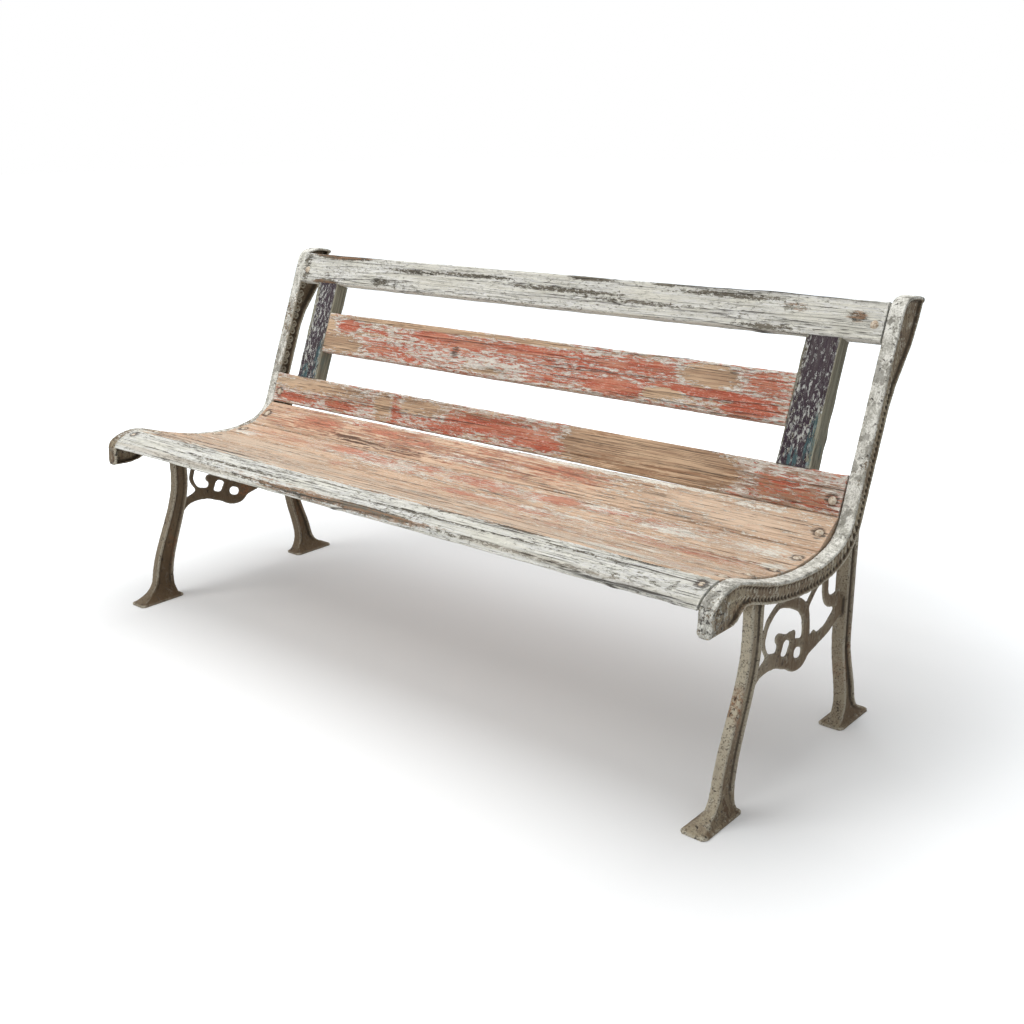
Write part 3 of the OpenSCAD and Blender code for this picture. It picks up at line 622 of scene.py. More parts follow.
def painted_wood(name, wood, wood_dark, grain, under, under_amount, coat, coat_amount,
                 split, size, worn=0.38, stain=(0.32, 0.18, 0.10), chalky=0.42):
    """Bare grained wood under an undercoat and a flaking top coat.

    Each coat stays where a streaky noise plus its patches is over a limit, so the flakes
    follow the grain; size is their number per metre along and across. grain is the share of
    dark grain lines, split the strength with which cracks darken what they cross, worn the
    wood that shines through the coat, and chalky the undercoat that does. A stain patch
    over 0 has the colour stain, and one under 0 is a grey wash.
    """
    m = Shader(bpy.data.materials.new(name))
    g = m.attribute("grain", True)
    along, across = size
    broad = m.noise(m.stretch(g, 5, 24, 24), 3, 0.5, 0.3)
    streak = m.noise(m.stretch(g, 9, 210, 210), 4, 0.6, 0.3)
    line = m.noise(m.stretch(g, 7, 640, 640), 3, 0.6, 0.2)
    hair = m.noise(m.stretch(g, 16, 1100, 1100, 3), 3, 0.7, 0.2)
    flake = m.noise(m.stretch(g, along, across, across, 7), 8, 0.76, 0.35)
    chip = m.noise(m.stretch(g, 0.9 * along, 1.05 * across, 1.05 * across, 11), 8, 0.77, 0.35)
    speck = m.noise(m.stretch(g, 150, 480, 480, 5), 4, 0.7, 0.2)
    bare = m.attribute("bare")
    stained = m.attribute("stain")

    def stays(pattern, patch, amount):
        """1 where a coat has stayed on the wood."""
        total = m.sum((broad, 0.2), pattern, (speck, 0.25), (m.attribute(patch), 0.13),
                      (bare, -0.15), amount - 0.225)
        return m.step(total, 0.49, 0.51)

    def blotch(patch, share, low, high):
        """A patch with a streaky, flaky edge."""
        total = m.sum((patch, share), (streak, 1.2), (flake, 1.4), -0.8)
        return m.times(m.step(total, low, high), m.step(patch, 0.0, 0.3))

    lines = m.step(m.sum(line, (hair, 0.5), grain - 0.25), 0.52, 0.66)
    thin = m.step(m.sum((hair, 0.5), (speck, 0.5)), 0.40, 0.60)
    tone = m.mix(m.step(m.sum((broad, 0.5), (streak, 0.6)), 0.44, 0.68), wood, wood_dark)
    tone = m.mix(m.times(lines, 0.72), tone, dimmed(wood_dark, 0.36))
    under_on = stays(flake, "white", under_amount)
    under_tone = m.mix(thin, dimmed(under, 0.62), under)
    coat_on = stays(chip, "red", coat_amount)
    coat_tone = m.mix(thin, dimmed(coat, 0.72), tuple(min(v, 0.8) for v in dimmed(coat, 1.14)))
    through = m.step(m.sum((streak, 0.6), (broad, 0.4)), 0.44, 0.60)
    coat_tone = m.mix(through, coat_tone, between(coat, wood, worn))
    chalk = m.step(m.sum((flake, 0.6), (speck, 0.4)), 0.53, 0.58)
    coat_tone = m.mix(chalk, coat_tone, between(coat, under, chalky))
    coat_tone = m.mix(m.times(lines, 0.4), coat_tone, dimmed(coat, 0.5))
    color = m.mix(under_on, tone, under_tone)
    color = m.mix(coat_on, color, coat_tone)
    color = m.mix(m.times(blotch(stained, 0.12, 0.52, 0.62), 0.68), color, stain)
    wash = m.step(m.times(stained, -1.0), 0.0, 1.0)
    color = m.mix(m.times(wash, 0.6), color, WASH)
    grime = m.step(m.sum((speck, 0.5), (hair, 0.5)), 0.57, 0.66)
    color = m.mix(m.times(grime, 0.5 * split), color, GRIME)
    seam = m.maths("MAXIMUM", m.attribute("split"), m.step(m.sum(line, (speck, 0.2)), 0.72, 0.79))
    seam = m.times(m.step(seam, 0.05, 0.6), split)
    color = m.mix(seam, color, CRACK_DARK)
    # Dark dirt, and the painted shade round the bolt heads.
    color = m.mix(m.times(blotch(m.attribute("dark"), 0.26, 0.50, 0.80), 0.85), color, DARK_DIRT_AND_SHADE)
    height = m.sum((under_on, 0.35), (coat_on, 0.35), (hair, 0.4), (lines, -0.5), (seam, -0.8))
    return m.finish(color, 0.80, height, 0.0007)


def cast_iron():
    """Rough old iron, dark in its pits, with dirt and painted shade in its hollows, pale on its
    edges from wear and a painted highlight, painted light on faces under the seat that turn
    to the front and painted shade on those that turn sideways, with flaking white paint on
    the rim."""
    m = Shader(bpy.data.materials.new("cast_iron"))
    p = m.place()
    broad = m.noise(p, 3, 0.5, 0, 11)
    run = m.noise(m.stretch(p, 70, 70, 13), 5, 0.62, 0.3)
    mottle = m.noise(p, 6, 0.7, 0.3, 85)
    pit = m.noise(p, 5, 0.7, 0, 330)
    spot = m.noise(m.stretch(p, 1, 1, 1, 5), 3, 0.6, 0.2, 120)
    bald = m.noise(p, 5, 0.62, 0.5, 34)
    edge = m.attribute("edge")
    paint = m.attribute("paint")
    color = m.mix(m.step(m.sum((broad, 0.4), (run, 0.6)), 0.42, 0.60), IRON, IRON_LIGHT)
    color = m.mix(m.step(run, 0.50, 0.60), color, IRON_RUN)
    # Painted light: faces under the seat that turn to the front are paler, and so is the front leg.
    color = m.mix(m.times(m.attribute("pale"), 0.6), color, IRON_PALE_AND_LIT)
    scuff = m.step(m.sum((mottle, 0.5), (pit, 0.3), (run, 0.2), (edge, 0.07)), 0.525, 0.575)
    color = m.mix(scuff, color, IRON_SCUFF)
    # Browner on the rear leg, the scrollwork and the inner side of the nose and post; painted shade
    # on faces under the seat that turn sideways and on the whole left casting.
    color = m.mix(m.times(m.attribute("brown"), 0.82), color, IRON_BROWN_AND_SHADE)
    # Pale edges: worn iron and a painted highlight.
    color = m.mix(m.times(m.step(edge, 0.2, 0.9), 0.65), color, IRON_EDGE_WEAR_AND_HIGHLIGHT)
    color = m.mix(m.times(m.attribute("rust"), m.step(mottle, 0.42, 0.60)), color, RUST_RED)
    pitted = m.step(m.sum((pit, 0.75), (mottle, 0.35)), 0.56, 0.64)
    color = m.mix(m.times(pitted, 0.8), color, IRON_PIT)
    white_at = m.sum((mottle, 0.45), (pit, 0.3), (broad, 0.25), (paint, 0.34), (edge, -0.05), -0.27)
    white_on = m.step(white_at, 0.485, 0.515)
    white = m.mix(m.step(m.sum((pit, 0.5), (run, 0.5)), 0.42, 0.58), PAINT_GREY, PAINT_WHITE)
    color = m.mix(white_on, color, white)
    bald = m.step(m.sum((bald, 0.7), (mottle, 0.3)), 0.53, 0.575)
    color = m.mix(m.times(bald, m.times(paint, 0.6)), color, PAINT_GONE)
    fleck = m.step(m.sum((spot, 0.7), (pit, 0.3), (m.attribute("flecks"), 0.05)), 0.60, 0.625)
    color = m.mix(m.times(fleck, 0.85), color, FLECK)
    # Dirt and painted shade darken the hollows.
    color = m.mix(m.times(m.step(m.attribute("hollow_dirt_and_shade"), 0.06, 0.60), 0.90), color, HOLLOW_DIRT_AND_SHADE)
    height = m.sum((white_on, 0.35), (pit, 0.9), (mottle, 0.5), (fleck, -0.5))
    return m.finish(color, 0.74, height, 0.0010)


def rusty_steel():
    """Dull bolts with brown rust in patches."""
    m = Shader(bpy.data.materials.new("rusty_steel"))
    rust = m.noise(m.place(), 5, 0.6, 0, 180)
    color = m.mix(m.step(rust, 0.42, 0.60), STEEL, STEEL_RUST)
    return m.finish(color, 0.65, rust, 0.0005, 0.1)


def bare_oak():
    """Plain brown dowels with fine streaks."""
    m = Shader(bpy.data.materials.new("bare_oak"))
    streak = m.noise(m.place(), 5, 0.65, 0.4, 260)
    color = m.mix(m.step(streak, 0.40, 0.62), OAK, OAK_DARK)
    return m.finish(color, 0.72, streak, 0.0004)


def neighbour_mean(values, edges, count):
    """The mean of each point's neighbours, added up over the edges."""
    n = len(values)
    total = np.empty_like(values)
    for k in range(values.shape[1]):
        total[:, k] = (np.bincount(edges[:, 0], values[edges[:, 1], k], n)
                       + np.bincount(edges[:, 1], values[edges[:, 0], k], n))
    return total / count


def neighbour_count(edges, n):
    """The number of each point's neighbours, as a column."""
    return np.bincount(edges.ravel(), minlength=n)[:, None].clip(1)


def taubin(co, edges, rounds, shrink=0.55, grow=-0.57):
    """Smooths without shrinking: each round moves points towards, then away from, the mean
    of their neighbours."""
    count = neighbour_count(edges, len(co))
    for _ in range(rounds):
        for amount in (shrink, grow):
            co = co + amount * (neighbour_mean(co, edges, count) - co)
    return co


def remeshed(source):
    """A copy of a solid's mesh, made again of small even faces."""
    draft = make_object("draft", source.data.copy())
    weld = draft.modifiers.new("weld", "WELD")
    weld.merge_threshold = 1e-5
    remesh = draft.modifiers.new("remesh", "REMESH")
    remesh.mode = "VOXEL"
    remesh.voxel_size = VOXEL
    bpy.context.view_layer.update()
    done = draft.evaluated_get(bpy.context.evaluated_depsgraph_get())
    fine = bpy.data.meshes.new_from_object(done)
    bpy.data.objects.remove(draft)
    fine.materials.clear()
    return fine


def softened(co, edges):
    """Points with their corners melted into fillets, more on the legs and most on the
    scrollwork."""
    co = taubin(co, edges, SOFT_ROUNDS)
    y, z = co[:, 1:2], co[:, 2:]
    scroll = within(y, *SCROLL_Y, SCROLL_FADE) * within(z, *SCROLL_Z, SCROLL_FADE)
    legs = fall(z, 0.36, 0.02) * rise(z, 0.012, 0.01)
    co = co + legs * (taubin(co, edges, LEG_ROUNDS, shrink=0.5, grow=0.0) - co)
    return co + scroll * (taubin(co, edges, SCROLL_ROUNDS, shrink=0.5, grow=0.0) - co)


def bend_of(co, edges, normals):
    """How sharp each point is: its height over the mean of its neighbours, blurred, with 1
    for an edge and -1 for a hollow."""
    count = neighbour_count(edges, len(co))
    bend = np.einsum("ij,ij->i", co - neighbour_mean(co, edges, count), normals)[:, None]
    for _ in range(2):
        bend = (bend + neighbour_mean(bend, edges, count)) / 2
    return bend[:, 0] / FULL_BEND


def rim_paint(co):
    """1 on the rim's face and edges, fading to 0 below them, and more on the nose and the
    head. Distances to every eighth point of the curve are taken in parcels, because the
    whole table of them would be large."""
    rim_y, rim_z = curve.y[::8], curve.z[::8]
    near = np.empty(len(co))
    for start in range(0, len(co), PARCEL):
        part = co[start:start + PARCEL]
        gap = (part[:, 1, None] - rim_y) ** 2 + (part[:, 2, None] - rim_z) ** 2
        near[start:start + PARCEL] = np.sqrt(gap.min(1))
    y, z = co[:, 1], co[:, 2]
    rim = np.clip(1.3 - near / PAINT_REACH, 0, 1)
    nose = 0.62 * fall(y, -0.275, 0.02) * (z > 0.34)
    return np.maximum(rim, nose) * (1 + 0.3 * rise(z, 0.70, 0.05))


def under_seat(z):
    """1 for the legs and the scrollwork, 0 from the nose up."""
    return fall(z, 0.37, 0.03)


def casting_finish_and_light(co, normals, bend):
    """The finishes of the right casting, with its painted light and shade, one number for each
    point.

    low is the part under the seat, fore the front leg, behind the rear leg, middle the
    scrollwork between them, and inward the inner side of the nose and the post.
    """
    y, z = co[:, 1], co[:, 2]
    low = under_seat(z)
    fore = fall(y, -0.08, 0.05) * rise(z, 0.1, 0.06)
    inward = np.clip(-normals[:, 0], 0, 1) * (1 - low)
    behind = rise(y, 0.05, 0.08) * low
    middle = np.clip(1 - np.abs(y + 0.02) / 0.14, 0, 1) * low
    # Faces under the seat that turn sideways are painted browner as shade.
    brown = 0.3 * behind + 0.3 * np.clip(2 * middle, 0, 1) + 0.4 * np.abs(normals[:, 0]) * low
    return {
        # Sharp edges: worn iron and a painted highlight.
        "edge": np.clip(bend, 0, 1),
        # Hollows: dirt and painted shade.
        "hollow_dirt_and_shade": np.clip(-bend, 0, 1),
        "paint": rim_paint(co),
        # Faces under the seat that turn to the front are painted light; the front leg is paler too.
        "pale": (np.clip(-normals[:, 1], 0, 1) + 0.6 * fore) * low,
        "flecks": np.exp(-((y + 0.35) / 0.03) ** 2) * (z > 0.33),
        "brown": brown + 0.45 * inward * (z > 0.4),
        "rust": patch_field(co[:, 1:], RUST_RIGHT),
    }


def left_finish_and_shade(finish, co):
    """The left casting's finishes: browner all over and most under the seat as painted shade,
    with less paint on the nose.
    """
    return finish | {
        "paint": finish["paint"] * (0.88 - 0.35 * finish["flecks"]),
        # The left casting is painted browner all over, most under the seat, as shade.
        "brown": np.clip(finish["brown"] + 0.6 * under_seat(co[:, 2]) + 0.2, 0, 1),
        "rust": patch_field(co[:, 1:], RUST_LEFT),
    }


def castings():
    """The right end frame as one casting: the solid is re-meshed fine, its corners are
    melted into fillets, and the skin is roughened. The left frame is its mirror image."""
    fine = remeshed(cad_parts["end_frame_right"])
    edges = read(fine.edges, "vertices", 2, np.int32)
    co = softened(read(fine.vertices, "co", 3).astype(float), edges)
    fine.vertices.foreach_set("co", co.astype(np.float32).ravel())
    fine.update()
    normals = read(fine.vertices, "normal", 3).astype(float)
    bend = bend_of(co, edges, normals)
    skin = PIT_DEPTH * (fractal(co, (120, 120, 120), 3, 3) - 1)
    co = co + normals * skin[:, None]
    right = casting_finish_and_light(co, normals, bend)
    for side, name, node, finish in (
            (1, "casting_right", "end_frame_right", right),
            (-1, "casting_left", "end_frame_left", left_finish_and_shade(right, co))):
        mesh = fine.copy()
        placed = co * np.array([side, 1, 1])
        mesh.vertices.foreach_set("co", placed.astype(np.float32).ravel())
        if side < 0:
            mesh.flip_normals()
        mesh.shade_smooth()
        piece = make_object(name, mesh)
        for key, values in finish.items():
            put_attribute(piece, key, values)
        dress(piece, node, iron)


def post_curls():
    """Curls cast in a row down the inner side of each post, turning one way and the other:
    each is a tube that thins along a spiral, reach = outer radius less a share of the turn,
    half sunk in the web, with a flat cap at both ends."""
    turn = np.linspace(0, 1, CURL_STEPS)[:, None]
    tube = np.linspace(0, 2 * math.pi, CURL_SIDES, endpoint=False)[None, :]
    thick = CURL_THICK * (1 - CURL_THINNING * turn)
    reach = CURL_R - CURL_DRAWN_IN * turn + thick * np.cos(tube)
    count = CURL_STEPS * CURL_SIDES
    bands = sleeve_faces(CURL_STEPS, CURL_SIDES)
    places = np.arange(BATTEN_S + FIRST_CURL, TOP_RAIL_S - LAST_CURL, CURL_PITCH)
    for side, name, node in ((-1, "curls_left", "end_frame_left"),
                             (1, "curls_right", "end_frame_right")):
        x = np.broadcast_to(side * (WEB_X - thick * np.sin(tube)), reach.shape)
        points = []
        faces = []
        for k, s in enumerate(places):
            y, z = curve.off(s, RIM_T + CURL_BELOW_RIM)
            way = 1 if k % 2 == 0 else -1
            angle = way * (CURL_START + CURL_HALF_TURNS * math.pi * turn)
            curl = np.stack([x, y + reach * np.cos(angle), z + reach * np.sin(angle)], -1)
            faces += [[count * k + v for v in face[::way]] for face in bands]
            points.append(curl.reshape(-1, 3))
        piece = make_mesh(name, np.concatenate(points), faces)
        outwards(piece)
        # Every curl is painted pale with the edge colour all over: a painted highlight, partly worn
        # iron.
        for key in ("edge", "hollow_dirt_and_shade", "paint", "pale", "flecks", "brown", "rust"):
            value = 0.8 if key in ("edge", "pale") else 0.0
            put_attribute(piece, key, np.full(count * len(points), value))
        dress(piece, node, iron)


iron = cast_iron()
steel = rusty_steel()
oak = bare_oak()

# The painted woods, by the names of their slots
WOODS = {
    "white_painted_wood": painted_wood(
        "white_painted_wood", wood=(0.20, 0.18, 0.14), wood_dark=(0.095, 0.085, 0.066),
        grain=0.03, under=(0.52, 0.51, 0.44), under_amount=0.06, coat=(0.93, 0.92, 0.82),
        coat_amount=0.08, split=0.9, size=(72, 175)),
    "weathered_wood": painted_wood(
        "weathered_wood", wood=(0.67, 0.49, 0.35), wood_dark=(0.45, 0.30, 0.20),
        grain=-0.02, under=(0.86, 0.82, 0.72), under_amount=-0.07, coat=(0.55, 0.21, 0.145),
        coat_amount=-0.115, split=0.6, size=(38, 210), worn=0.4, stain=(0.52, 0.20, 0.11)),
    "red_painted_wood": painted_wood(
        "red_painted_wood", wood=(0.62, 0.44, 0.29), wood_dark=(0.40, 0.26, 0.165),
        grain=0.02, under=(0.84, 0.79, 0.71), under_amount=0.04, coat=(0.53, 0.135, 0.078),
        coat_amount=-0.035, split=0.75, size=(40, 200)),
    "dark_painted_wood": painted_wood(
        "dark_painted_wood", wood=(0.30, 0.29, 0.22), wood_dark=(0.19, 0.17, 0.125),
        grain=0.0, under=(0.62, 0.63, 0.60), under_amount=0.08, coat=(0.040, 0.024, 0.036),
        coat_amount=0.055, split=0.15, size=(75, 150), worn=0.10, stain=(0.05, 0.13, 0.14),
        chalky=0.14),
}


# Bolt heads along a board and the radius of the painted shade round them, in millimetres
BOLT_X = 776.5
BOLT_RING = 12


def bolt_shade_rings(across):
    """Rings of painted shade round the two bolt heads of a board, as patches."""
    return [(side * BOLT_X, across, BOLT_RING, BOLT_RING, 1.6) for side in (-1, 1)]


# Patches of the boards: place along and across, half length, half width, amount. The
# lengths are in millimetres, from the middle of the board's face. The kinds are the white
# undercoat, the red or other top coat, bare wood, dark dirt with the painted shade round
# the bolt heads, and stain or wash.
TOP_PATCHES = {
    "bare": [(-650, 34, 95, 8, 2.2), (-700, -33, 40, 7, 2.0), (-780, 0, 14, 40, 1.0),
             (-505, -20, 30, 12, 0.9), (-330, 0, 480, 40, 0.08), (260, 10, 300, 24, 0.08),
             (-380, 12, 90, 6, 0.9), (-200, 16, 120, 5, 1.0), (60, 3, 150, 6, 1.0),
             (250, -8, 120, 5, 0.8), (470, 24, 120, 6, 1.0), (130, 33, 60, 5, 1.4),
             (320, 34, 40, 4, 1.2), (560, -30, 60, 5, 0.9), (740, 6, 18, 10, 1.1),
             (615, 12, 28, 9, 0.7)],
    "white": [(-560, 0, 60, 20, 0.5), (-100, -14, 160, 12, 0.5), (660, 0, 90, 24, 0.8)],
    "stain": [(-650, 35, 95, 7, 1.0), (-700, -34, 40, 6, 0.8), (740, 6, 18, 10, 0.7),
              (615, 12, 28, 9, 0.4)],
}
MIDDLE_PATCHES = {
    "red": [(-100, 12, 500, 26, 0.25), (330, -6, 320, 40, 0.3), (-480, -20, 160, 20, 0.3),
            (100, 24, 90, 10, 0.5), (-240, 20, 110, 12, 0.4), (-575, 22, 36, 16, 1.27),
            (-475, 16, 45, 8, 0.75), (-285, 26, 52, 13, 1.5), (-155, 18, 36, 11, 1.35),
            (-420, -22, 60, 10, 0.6), (-560, -40, 30, 8, 0.52), (-20, 22, 90, 12, 0.68),
            (250, -28, 85, 14, 1.5), (470, -12, 120, 9, 1.27), (575, -30, 60, 16, 1.12),
            (600, 22, 40, 18, 0.75), (300, 24, 90, 14, 0.52), (60, -34, 60, 10, 0.52),
            (-330, -34, 60, 8, 0.6)],
    "white": [(20, 0, 560, 40, 0.3), (-480, -4, 36, 7, 1.4), (-60, -6, 90, 8, 1.2),
              (40, 2, 12, 26, 1.2), (175, 6, 34, 8, 1.5), (-200, 14, 18, 18, 0.9),
              (620, -38, 26, 8, 1.2), (390, -36, 40, 8, 0.9), (-130, -28, 30, 8, 1.2)],
    "bare": [(-590, -22, 80, 22, 1.4), (-640, 10, 14, 40, 0.8), (-330, 43, 240, 7, 1.8),
             (470, 20, 70, 22, 1.5), (20, 42, 120, 6, 1.2), (370, -28, 50, 14, 1.3),
             (-500, 8, 70, 6, 0.7), (-120, -36, 60, 8, 1.0)],
    "dark": [(-205, -4, 12, 13, 1.1), (518, 34, 12, 6, 0.7)],
}
LOWER_PATCHES = {
    "red": [(-330, -12, 460, 26, 0.2), (20, 0, 170, 30, 0.3), (-712, -20, 62, 10, 1.42),
            (-545, -18, 48, 11, 1.42), (-350, 0, 16, 34, 0.75), (-70, 4, 110, 18, 0.98),
            (110, -14, 75, 16, 1.12), (-170, -24, 60, 10, 0.75), (660, -8, 90, 22, 0.68),
            (745, -24, 40, 10, 0.68)],
    "white": [(-300, 0, 460, 30, 0.2), (690, 6, 110, 30, 0.3), (-437, -14, 18, 6, 1.5),
              (-620, -24, 22, 7, 0.9), (40, 30, 60, 6, 0.9), (590, -22, 24, 10, 1.2),
              (690, 12, 110, 26, 1.05), (725, 22, 80, 14, 1.9)],
    "stain": [(680, -4, 120, 34, 0.8), (-560, 6, 200, 26, 0.4), (-100, 22, 200, 12, 0.5),
              (380, -22, 190, 14, 0.55), (250, 32, 90, 6, 0.5), (-620, 20, 190, 16, -0.5)],
    "bare": [(-620, 18, 190, 16, 1.0), (-395, 0, 28, 34, 1.2), (-270, 14, 80, 18, 1.1),
             (365, 0, 195, 44, 3.2)],
    "dark": bolt_shade_rings(-12.5),
}
# The seat slats are counted from the front.
SEAT_PATCHES = {5: {
    "red": [(-570, 4, 80, 14, 1.42), (-350, 16, 62, 9, 1.27), (190, 10, 90, 14, 1.05),
            (-440, 26, 50, 7, 0.9), (-30, 24, 30, 8, 0.75), (-240, 6, 60, 10, 0.68),
            (-250, 4, 400, 40, 0.3)],
    "white": [(60, 38, 560, 4.5, 1.7), (-100, -12, 95, 12, 0.9), (-455, 27, 50, 6, 1.1),
              (640, 30, 90, 6, 0.7), (-100, 8, 560, 36, 0.25)],
    "stain": [(-590, 0, 110, 22, 0.85), (-640, -14, 90, 14, 0.45), (-350, 12, 70, 16, 0.9),
              (-240, 6, 80, 14, 0.5), (190, 10, 110, 14, 0.75), (60, 20, 80, 10, 0.45),
              (560, 0, 240, 40, -0.35), (-250, 4, 600, 44, 0.45)],
    "dark": [(-400, -4, 460, 44, 0.17), (300, 0, 500, 44, 0.08), (-410, -26, 120, 14, 0.34),
             (-230, -26, 100, 10, 0.2), (330, -30, 260, 8, 0.16), (-400, -22, 70, 10, 0.25),
             (640, 4, 10, 6, 0.35)] + bolt_shade_rings(0),
}, 4: {
    "red": [(-20, 0, 760, 44, 0.42), (-390, 12, 60, 18, 0.98), (-290, 0, 60, 20, 0.68),
            (15, 4, 80, 24, 0.7), (240, 6, 52, 22, 0.95), (110, -20, 60, 12, 0.68),
            (-130, 10, 40, 16, 0.68), (420, 4, 90, 16, 0.6)],
    "white": [(-20, 0, 790, 44, 0.42), (-370, 10, 60, 18, 1.0), (-250, -10, 90, 20, 0.95),
              (60, 14, 50, 12, 1.2), (195, -8, 16, 18, 1.3), (370, 14, 60, 12, 1.0),
              (520, -10, 60, 16, 1.2), (-740, -20, 40, 12, 1.0), (720, 0, 60, 24, 0.8)],
    "stain": [(-420, 18, 60, 16, 0.35), (235, 6, 60, 26, 0.35), (30, 10, 90, 24, 0.25),
              (-260, -6, 60, 16, 0.35), (660, -20, 120, 20, -0.35), (-620, 4, 180, 40, 0.25)],
    "dark": [(90, -34, 160, 8, 0.2), (0, 0, 800, 44, 0.1)] + bolt_shade_rings(0),
}, 3: {
    "red": [(260, 0, 520, 44, 0.32), (-335, 6, 30, 20, 0.68), (30, 6, 50, 22, 0.9),
            (250, -4, 70, 18, 0.6), (470, 10, 60, 14, 0.6), (130, 8, 60, 14, 0.45),
            (620, -20, 60, 12, 0.52)],
    "white": [(430, 0, 420, 44, 0.4), (230, 16, 36, 10, 1.3), (330, 24, 50, 8, 1.2),
              (470, 16, 60, 10, 1.1), (90, 24, 60, 8, 0.8), (760, 20, 24, 16, 1.1),
              (-520, -16, 80, 6, 0.6)],
    "stain": [(110, -4, 80, 30, 0.3), (640, -10, 120, 26, 0.3), (-600, 0, 280, 44, -0.55),
              (600, -14, 160, 24, 0.2)],
    "dark": bolt_shade_rings(0),
}, 2: {
    "red": [(420, 0, 300, 44, 0.3), (330, 14, 90, 16, 0.38), (640, 8, 50, 14, 0.45)],
    "white": [(500, 0, 300, 44, 0.25), (180, 10, 50, 14, 0.7), (570, 0, 60, 10, 0.7)],
    "dark": [(-160, -18, 130, 6, 0.35), (-500, 8, 140, 5, 0.2), (-430, 6, 90, 4, 0.45),
             (-200, -14, 150, 4, 0.5), (350, 22, 60, 4, 0.5), (120, -6, 260, 3.5, 0.6),
             (-620, 26, 160, 3.5, 0.6), (560, -24, 200, 3.5, 0.6)] + bolt_shade_rings(0),
    "stain": [(-500, 0, 380, 44, -0.5), (420, 0, 240, 40, 0.2), (300, 0, 560, 44, -0.5)],
}, 1: {
    "dark": [(-715, -30, 50, 10, 0.75), (-470, -24, 90, 10, 0.6), (-440, -12, 60, 6, 0.8),
             (-730, -10, 45, 5, 0.6), (260, 34, 100, 3.5, 0.6), (-120, 12, 300, 3.5, 0.7),
             (480, -20, 260, 3.5, 0.7), (120, -8, 200, 3, 0.6),
             (-600, 22, 180, 4, 0.7)] + bolt_shade_rings(0),
    "white": [(640, -6, 190, 36, 0.55), (-600, -34, 260, 8, 0.7), (560, -6, 60, 16, 1.3),
              (-780, -24, 40, 14, 1.2), (100, -30, 200, 8, 0.9), (-300, -34, 250, 6, 0.9)],
    "red": [(700, 8, 110, 30, 0.45), (270, 20, 60, 12, 0.52), (560, 22, 120, 10, 0.45)],
    "stain": [(250, 26, 70, 12, 0.5), (-450, 0, 420, 44, -0.6), (400, 0, 480, 44, -0.5)],
}}
# The front slat's across is Y.
FRONT_PATCHES = {
    "bare": [(-480, -341, 200, 4.0, 0.6), (-60, -341, 270, 5.0, 1.1), (60, -337, 110, 4.0, 0.9),
             (420, -341, 200, 3.0, 0.9), (-350, -322, 200, 3.0, 0.9), (260, -318, 240, 2.5, 1.1),
             (560, -306, 160, 2.0, 1.0), (-120, -300, 200, 2.0, 0.8), (400, -289, 60, 5, 1.4),
             (660, -290, 60, 4, 1.0), (-560, -296, 60, 4, 0.7), (200, -292, 50, 4, 1.0)],
    "stain": [(-40, -340, 300, 6.0, 1.1), (-560, -341, 260, 5.0, -0.9), (480, -341, 300, 4.0, -0.6),
              (-250, -334, 130, 6.0, 0.5), (260, -288, 300, 4.0, 0.5)],
    "white": [(0, -310, 700, 8, 0.25)],
    "dark": bolt_shade_rings(-304.5),
}
BATTEN_PATCHES = {
    "bare": [(0, 35.5, 200, 3.2, 4.0), (0, -35.5, 200, 2.4, 2.0), (60, -30, 90, 7, 0.7),
             (-100, 30, 30, 8, 0.8), (-40, 28, 40, 6, 0.7)],
    "white": [(40, 10, 60, 20, 0.5)],
    "stain": [(-80, 24, 50, 10, 0.9), (-110, -10, 20, 14, 0.7)],
}
# Rust of the castings: place in Y and in Z, half sizes, amount
RUST_RIGHT = [(-225, 190, 14, 46, 0.9), (170, 150, 16, 60, 0.6), (-255, 385, 30, 10, 0.4)]
RUST_LEFT = [(10, 215, 26, 16, 0.9), (-220, 130, 16, 60, 0.5), (180, 130, 14, 60, 0.5)]


def boards():
    """The front slat, five flat seat slats, three back rails and two battens."""
    board("front_board", "front_slat", "white_painted_wood", front_section(), SLAT_END,
          front_place, 1, FRONT_PATCHES, cracks=44)
    for i in range(1, SEAT_SLATS + 1):
        board(f"seat_board_{i}", f"seat_slat_{i}", "weathered_wood",
              flat_section(SLAT_W, SLAT_T), SLAT_END, level_place(*seat_place(i)), 1 + i,
              SEAT_PATCHES[i], cracks=16, swell=SEAT_SWELL if i == SEAT_SLATS else 0.0)
    rail("lower_rail", "lower_back_rail", "red_painted_wood", LOWER_RAIL_S, LOWER_RAIL_W,
         SLAT_END, 8, LOWER_PATCHES, cracks=18, swell=RAIL_SWELL)
    rail("middle_rail", "middle_back_rail", "red_painted_wood", MIDDLE_RAIL_S, MIDDLE_RAIL_W,
         BATTEN_X - BATTEN_W / 2, 9, MIDDLE_PATCHES, cracks=18)
    rail("top_rail", "top_back_rail", "white_painted_wood", TOP_RAIL_S, TOP_RAIL_W,
         SLAT_END, 10, TOP_PATCHES, cracks=34)
    for name, node, side, seed in (("upright_left", "batten_left", -1, 11),
                                   ("upright_right", "batten_right", 1, 12)):
        board(name, node, "dark_painted_wood", flat_section(BATTEN_W, BATTEN_T, BATTEN_CORNER),
              BATTEN_LEN / 2, upright_place(side * BATTEN_X, BATTEN_S + BATTEN_LEN / 2), seed,
              BATTEN_PATCHES)


def small_parts():
    """Steel for the bolts, washers and nuts, oak for the dowels."""
    finishes = {steel: ("seat_bolts", "back_bolts", "seat_washers", "back_washers",
                        "seat_nuts", "back_nuts"),
                oak: ("batten_dowels", "middle_rail_dowels")}
    for material, nodes in finishes.items():
        for node in nodes:
            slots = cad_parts[node].data.materials
            slots.clear()
            slots.append(material)


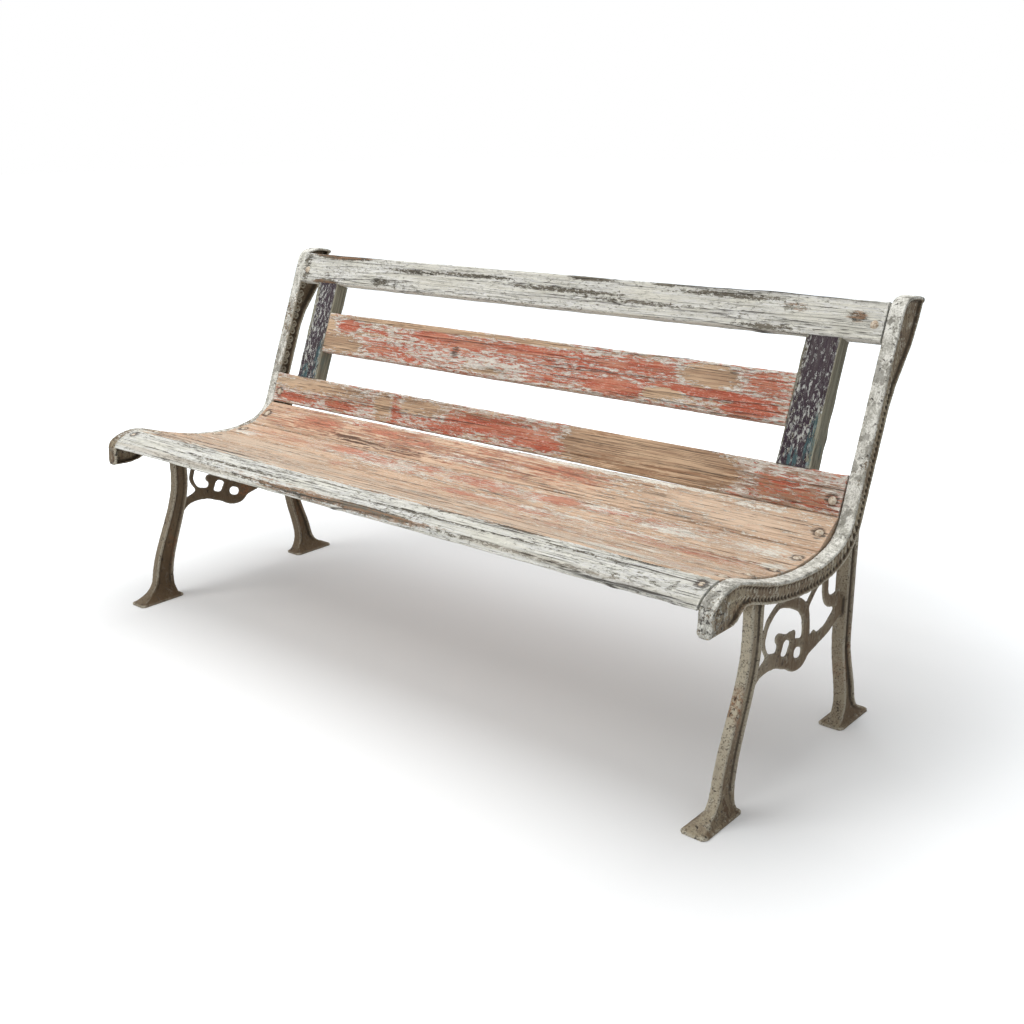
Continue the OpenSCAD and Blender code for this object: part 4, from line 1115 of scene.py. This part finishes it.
def floor():
    """A white floor. Seen directly or in a gloss, it adds a little white of its own, more
    with distance, so that only the bench's shadow shows on it."""
    half, low = 30, -0.0002
    corners = [(-half, -half, low), (half, -half, low), (half, half, low), (-half, half, low)]
    ground = make_mesh("floor", corners, [(0, 1, 2, 3)])
    m = Shader(bpy.data.materials.new("floor"))
    diffuse = m.node("BsdfDiffuse")
    diffuse.inputs["Color"].default_value = FLOOR_WHITE
    distance = m.node("VectorMath", operation="LENGTH")
    m.put(distance.inputs[0], m.place())
    far = m.step(distance.outputs["Value"], GLOW_FROM, GLOW_TO)
    added = m.sum(FLOOR_GLOW, (far, FAR_GLOW - FLOOR_GLOW))
    glow = m.node("Emission")
    glow.inputs["Color"].default_value = GLOW_WHITE
    m.put(glow.inputs["Strength"], m.times(added, m.seen()))
    both = m.node("AddShader")
    m.put(both.inputs[0], diffuse.outputs["BSDF"])
    m.put(both.inputs[1], glow.outputs["Emission"])
    m.put(m.output.inputs["Surface"], both.outputs["Shader"])
    ground.data.materials.append(m.owner)


def sky():
    """An even pale light all round, which is plain white where it is seen."""
    world = bpy.data.worlds.new("studio")
    m = Shader(world, "OutputWorld")
    light = m.node("Background")
    white = m.node("Background")
    light.inputs["Color"].default_value = PLAIN_WHITE
    light.inputs["Strength"].default_value = SKY_LIGHT
    white.inputs["Color"].default_value = PLAIN_WHITE
    choice = m.node("MixShader")
    m.put(choice.inputs[0], m.seen())
    m.put(choice.inputs[1], light.outputs[0])
    m.put(choice.inputs[2], white.outputs[0])
    m.put(m.output.inputs["Surface"], choice.outputs[0])
    bpy.context.scene.world = world


def lamp(name, place, target, size, power):
    """A square soft lamp that points at a target."""
    data = bpy.data.lights.new(name, "AREA")
    data.size = size
    data.energy = power
    made = make_object(name, data)
    made.location = place
    aim = np.array(target) - np.array(place)
    made.rotation_euler = Vector(aim).to_track_quat("-Z", "Y").to_euler()


def camera():
    """The photograph's view: place, yaw, pitch and roll were fitted to it."""
    place = np.array([1.6977, -1.8221, 1.1093])
    yaw, pitch, roll = math.radians(40.763), math.radians(17.743), -0.01390
    focal_px, width_px, sensor = 1211.25, 1024, 36.0
    look = np.array([-math.sin(yaw) * math.cos(pitch), math.cos(yaw) * math.cos(pitch),
                     -math.sin(pitch)])
    level = np.cross(look, (0, 0, 1))
    level /= np.linalg.norm(level)
    plumb = np.cross(level, look)
    right = math.cos(roll) * level + math.sin(roll) * plumb
    up = -math.sin(roll) * level + math.cos(roll) * plumb
    data = bpy.data.cameras.new("camera")
    data.sensor_width = sensor
    data.lens = focal_px / width_px * sensor
    made = make_object("camera", data)
    made.matrix_world = Matrix([*zip(right, up, -look, place), (0, 0, 0, 1)])
    bpy.context.scene.camera = made


boards()
castings()
post_curls()
small_parts()
floor()
sky()
lamp("overhead", place=(-0.2, 0.0, 3.4), target=(0, 0, 0), size=2.6, power=77)
lamp("key", place=(-1.8, -2.8, 3.2), target=(0, 0, 0.3), size=2.6, power=64)
camera()
bpy.context.scene.view_settings.view_transform = "Standard"
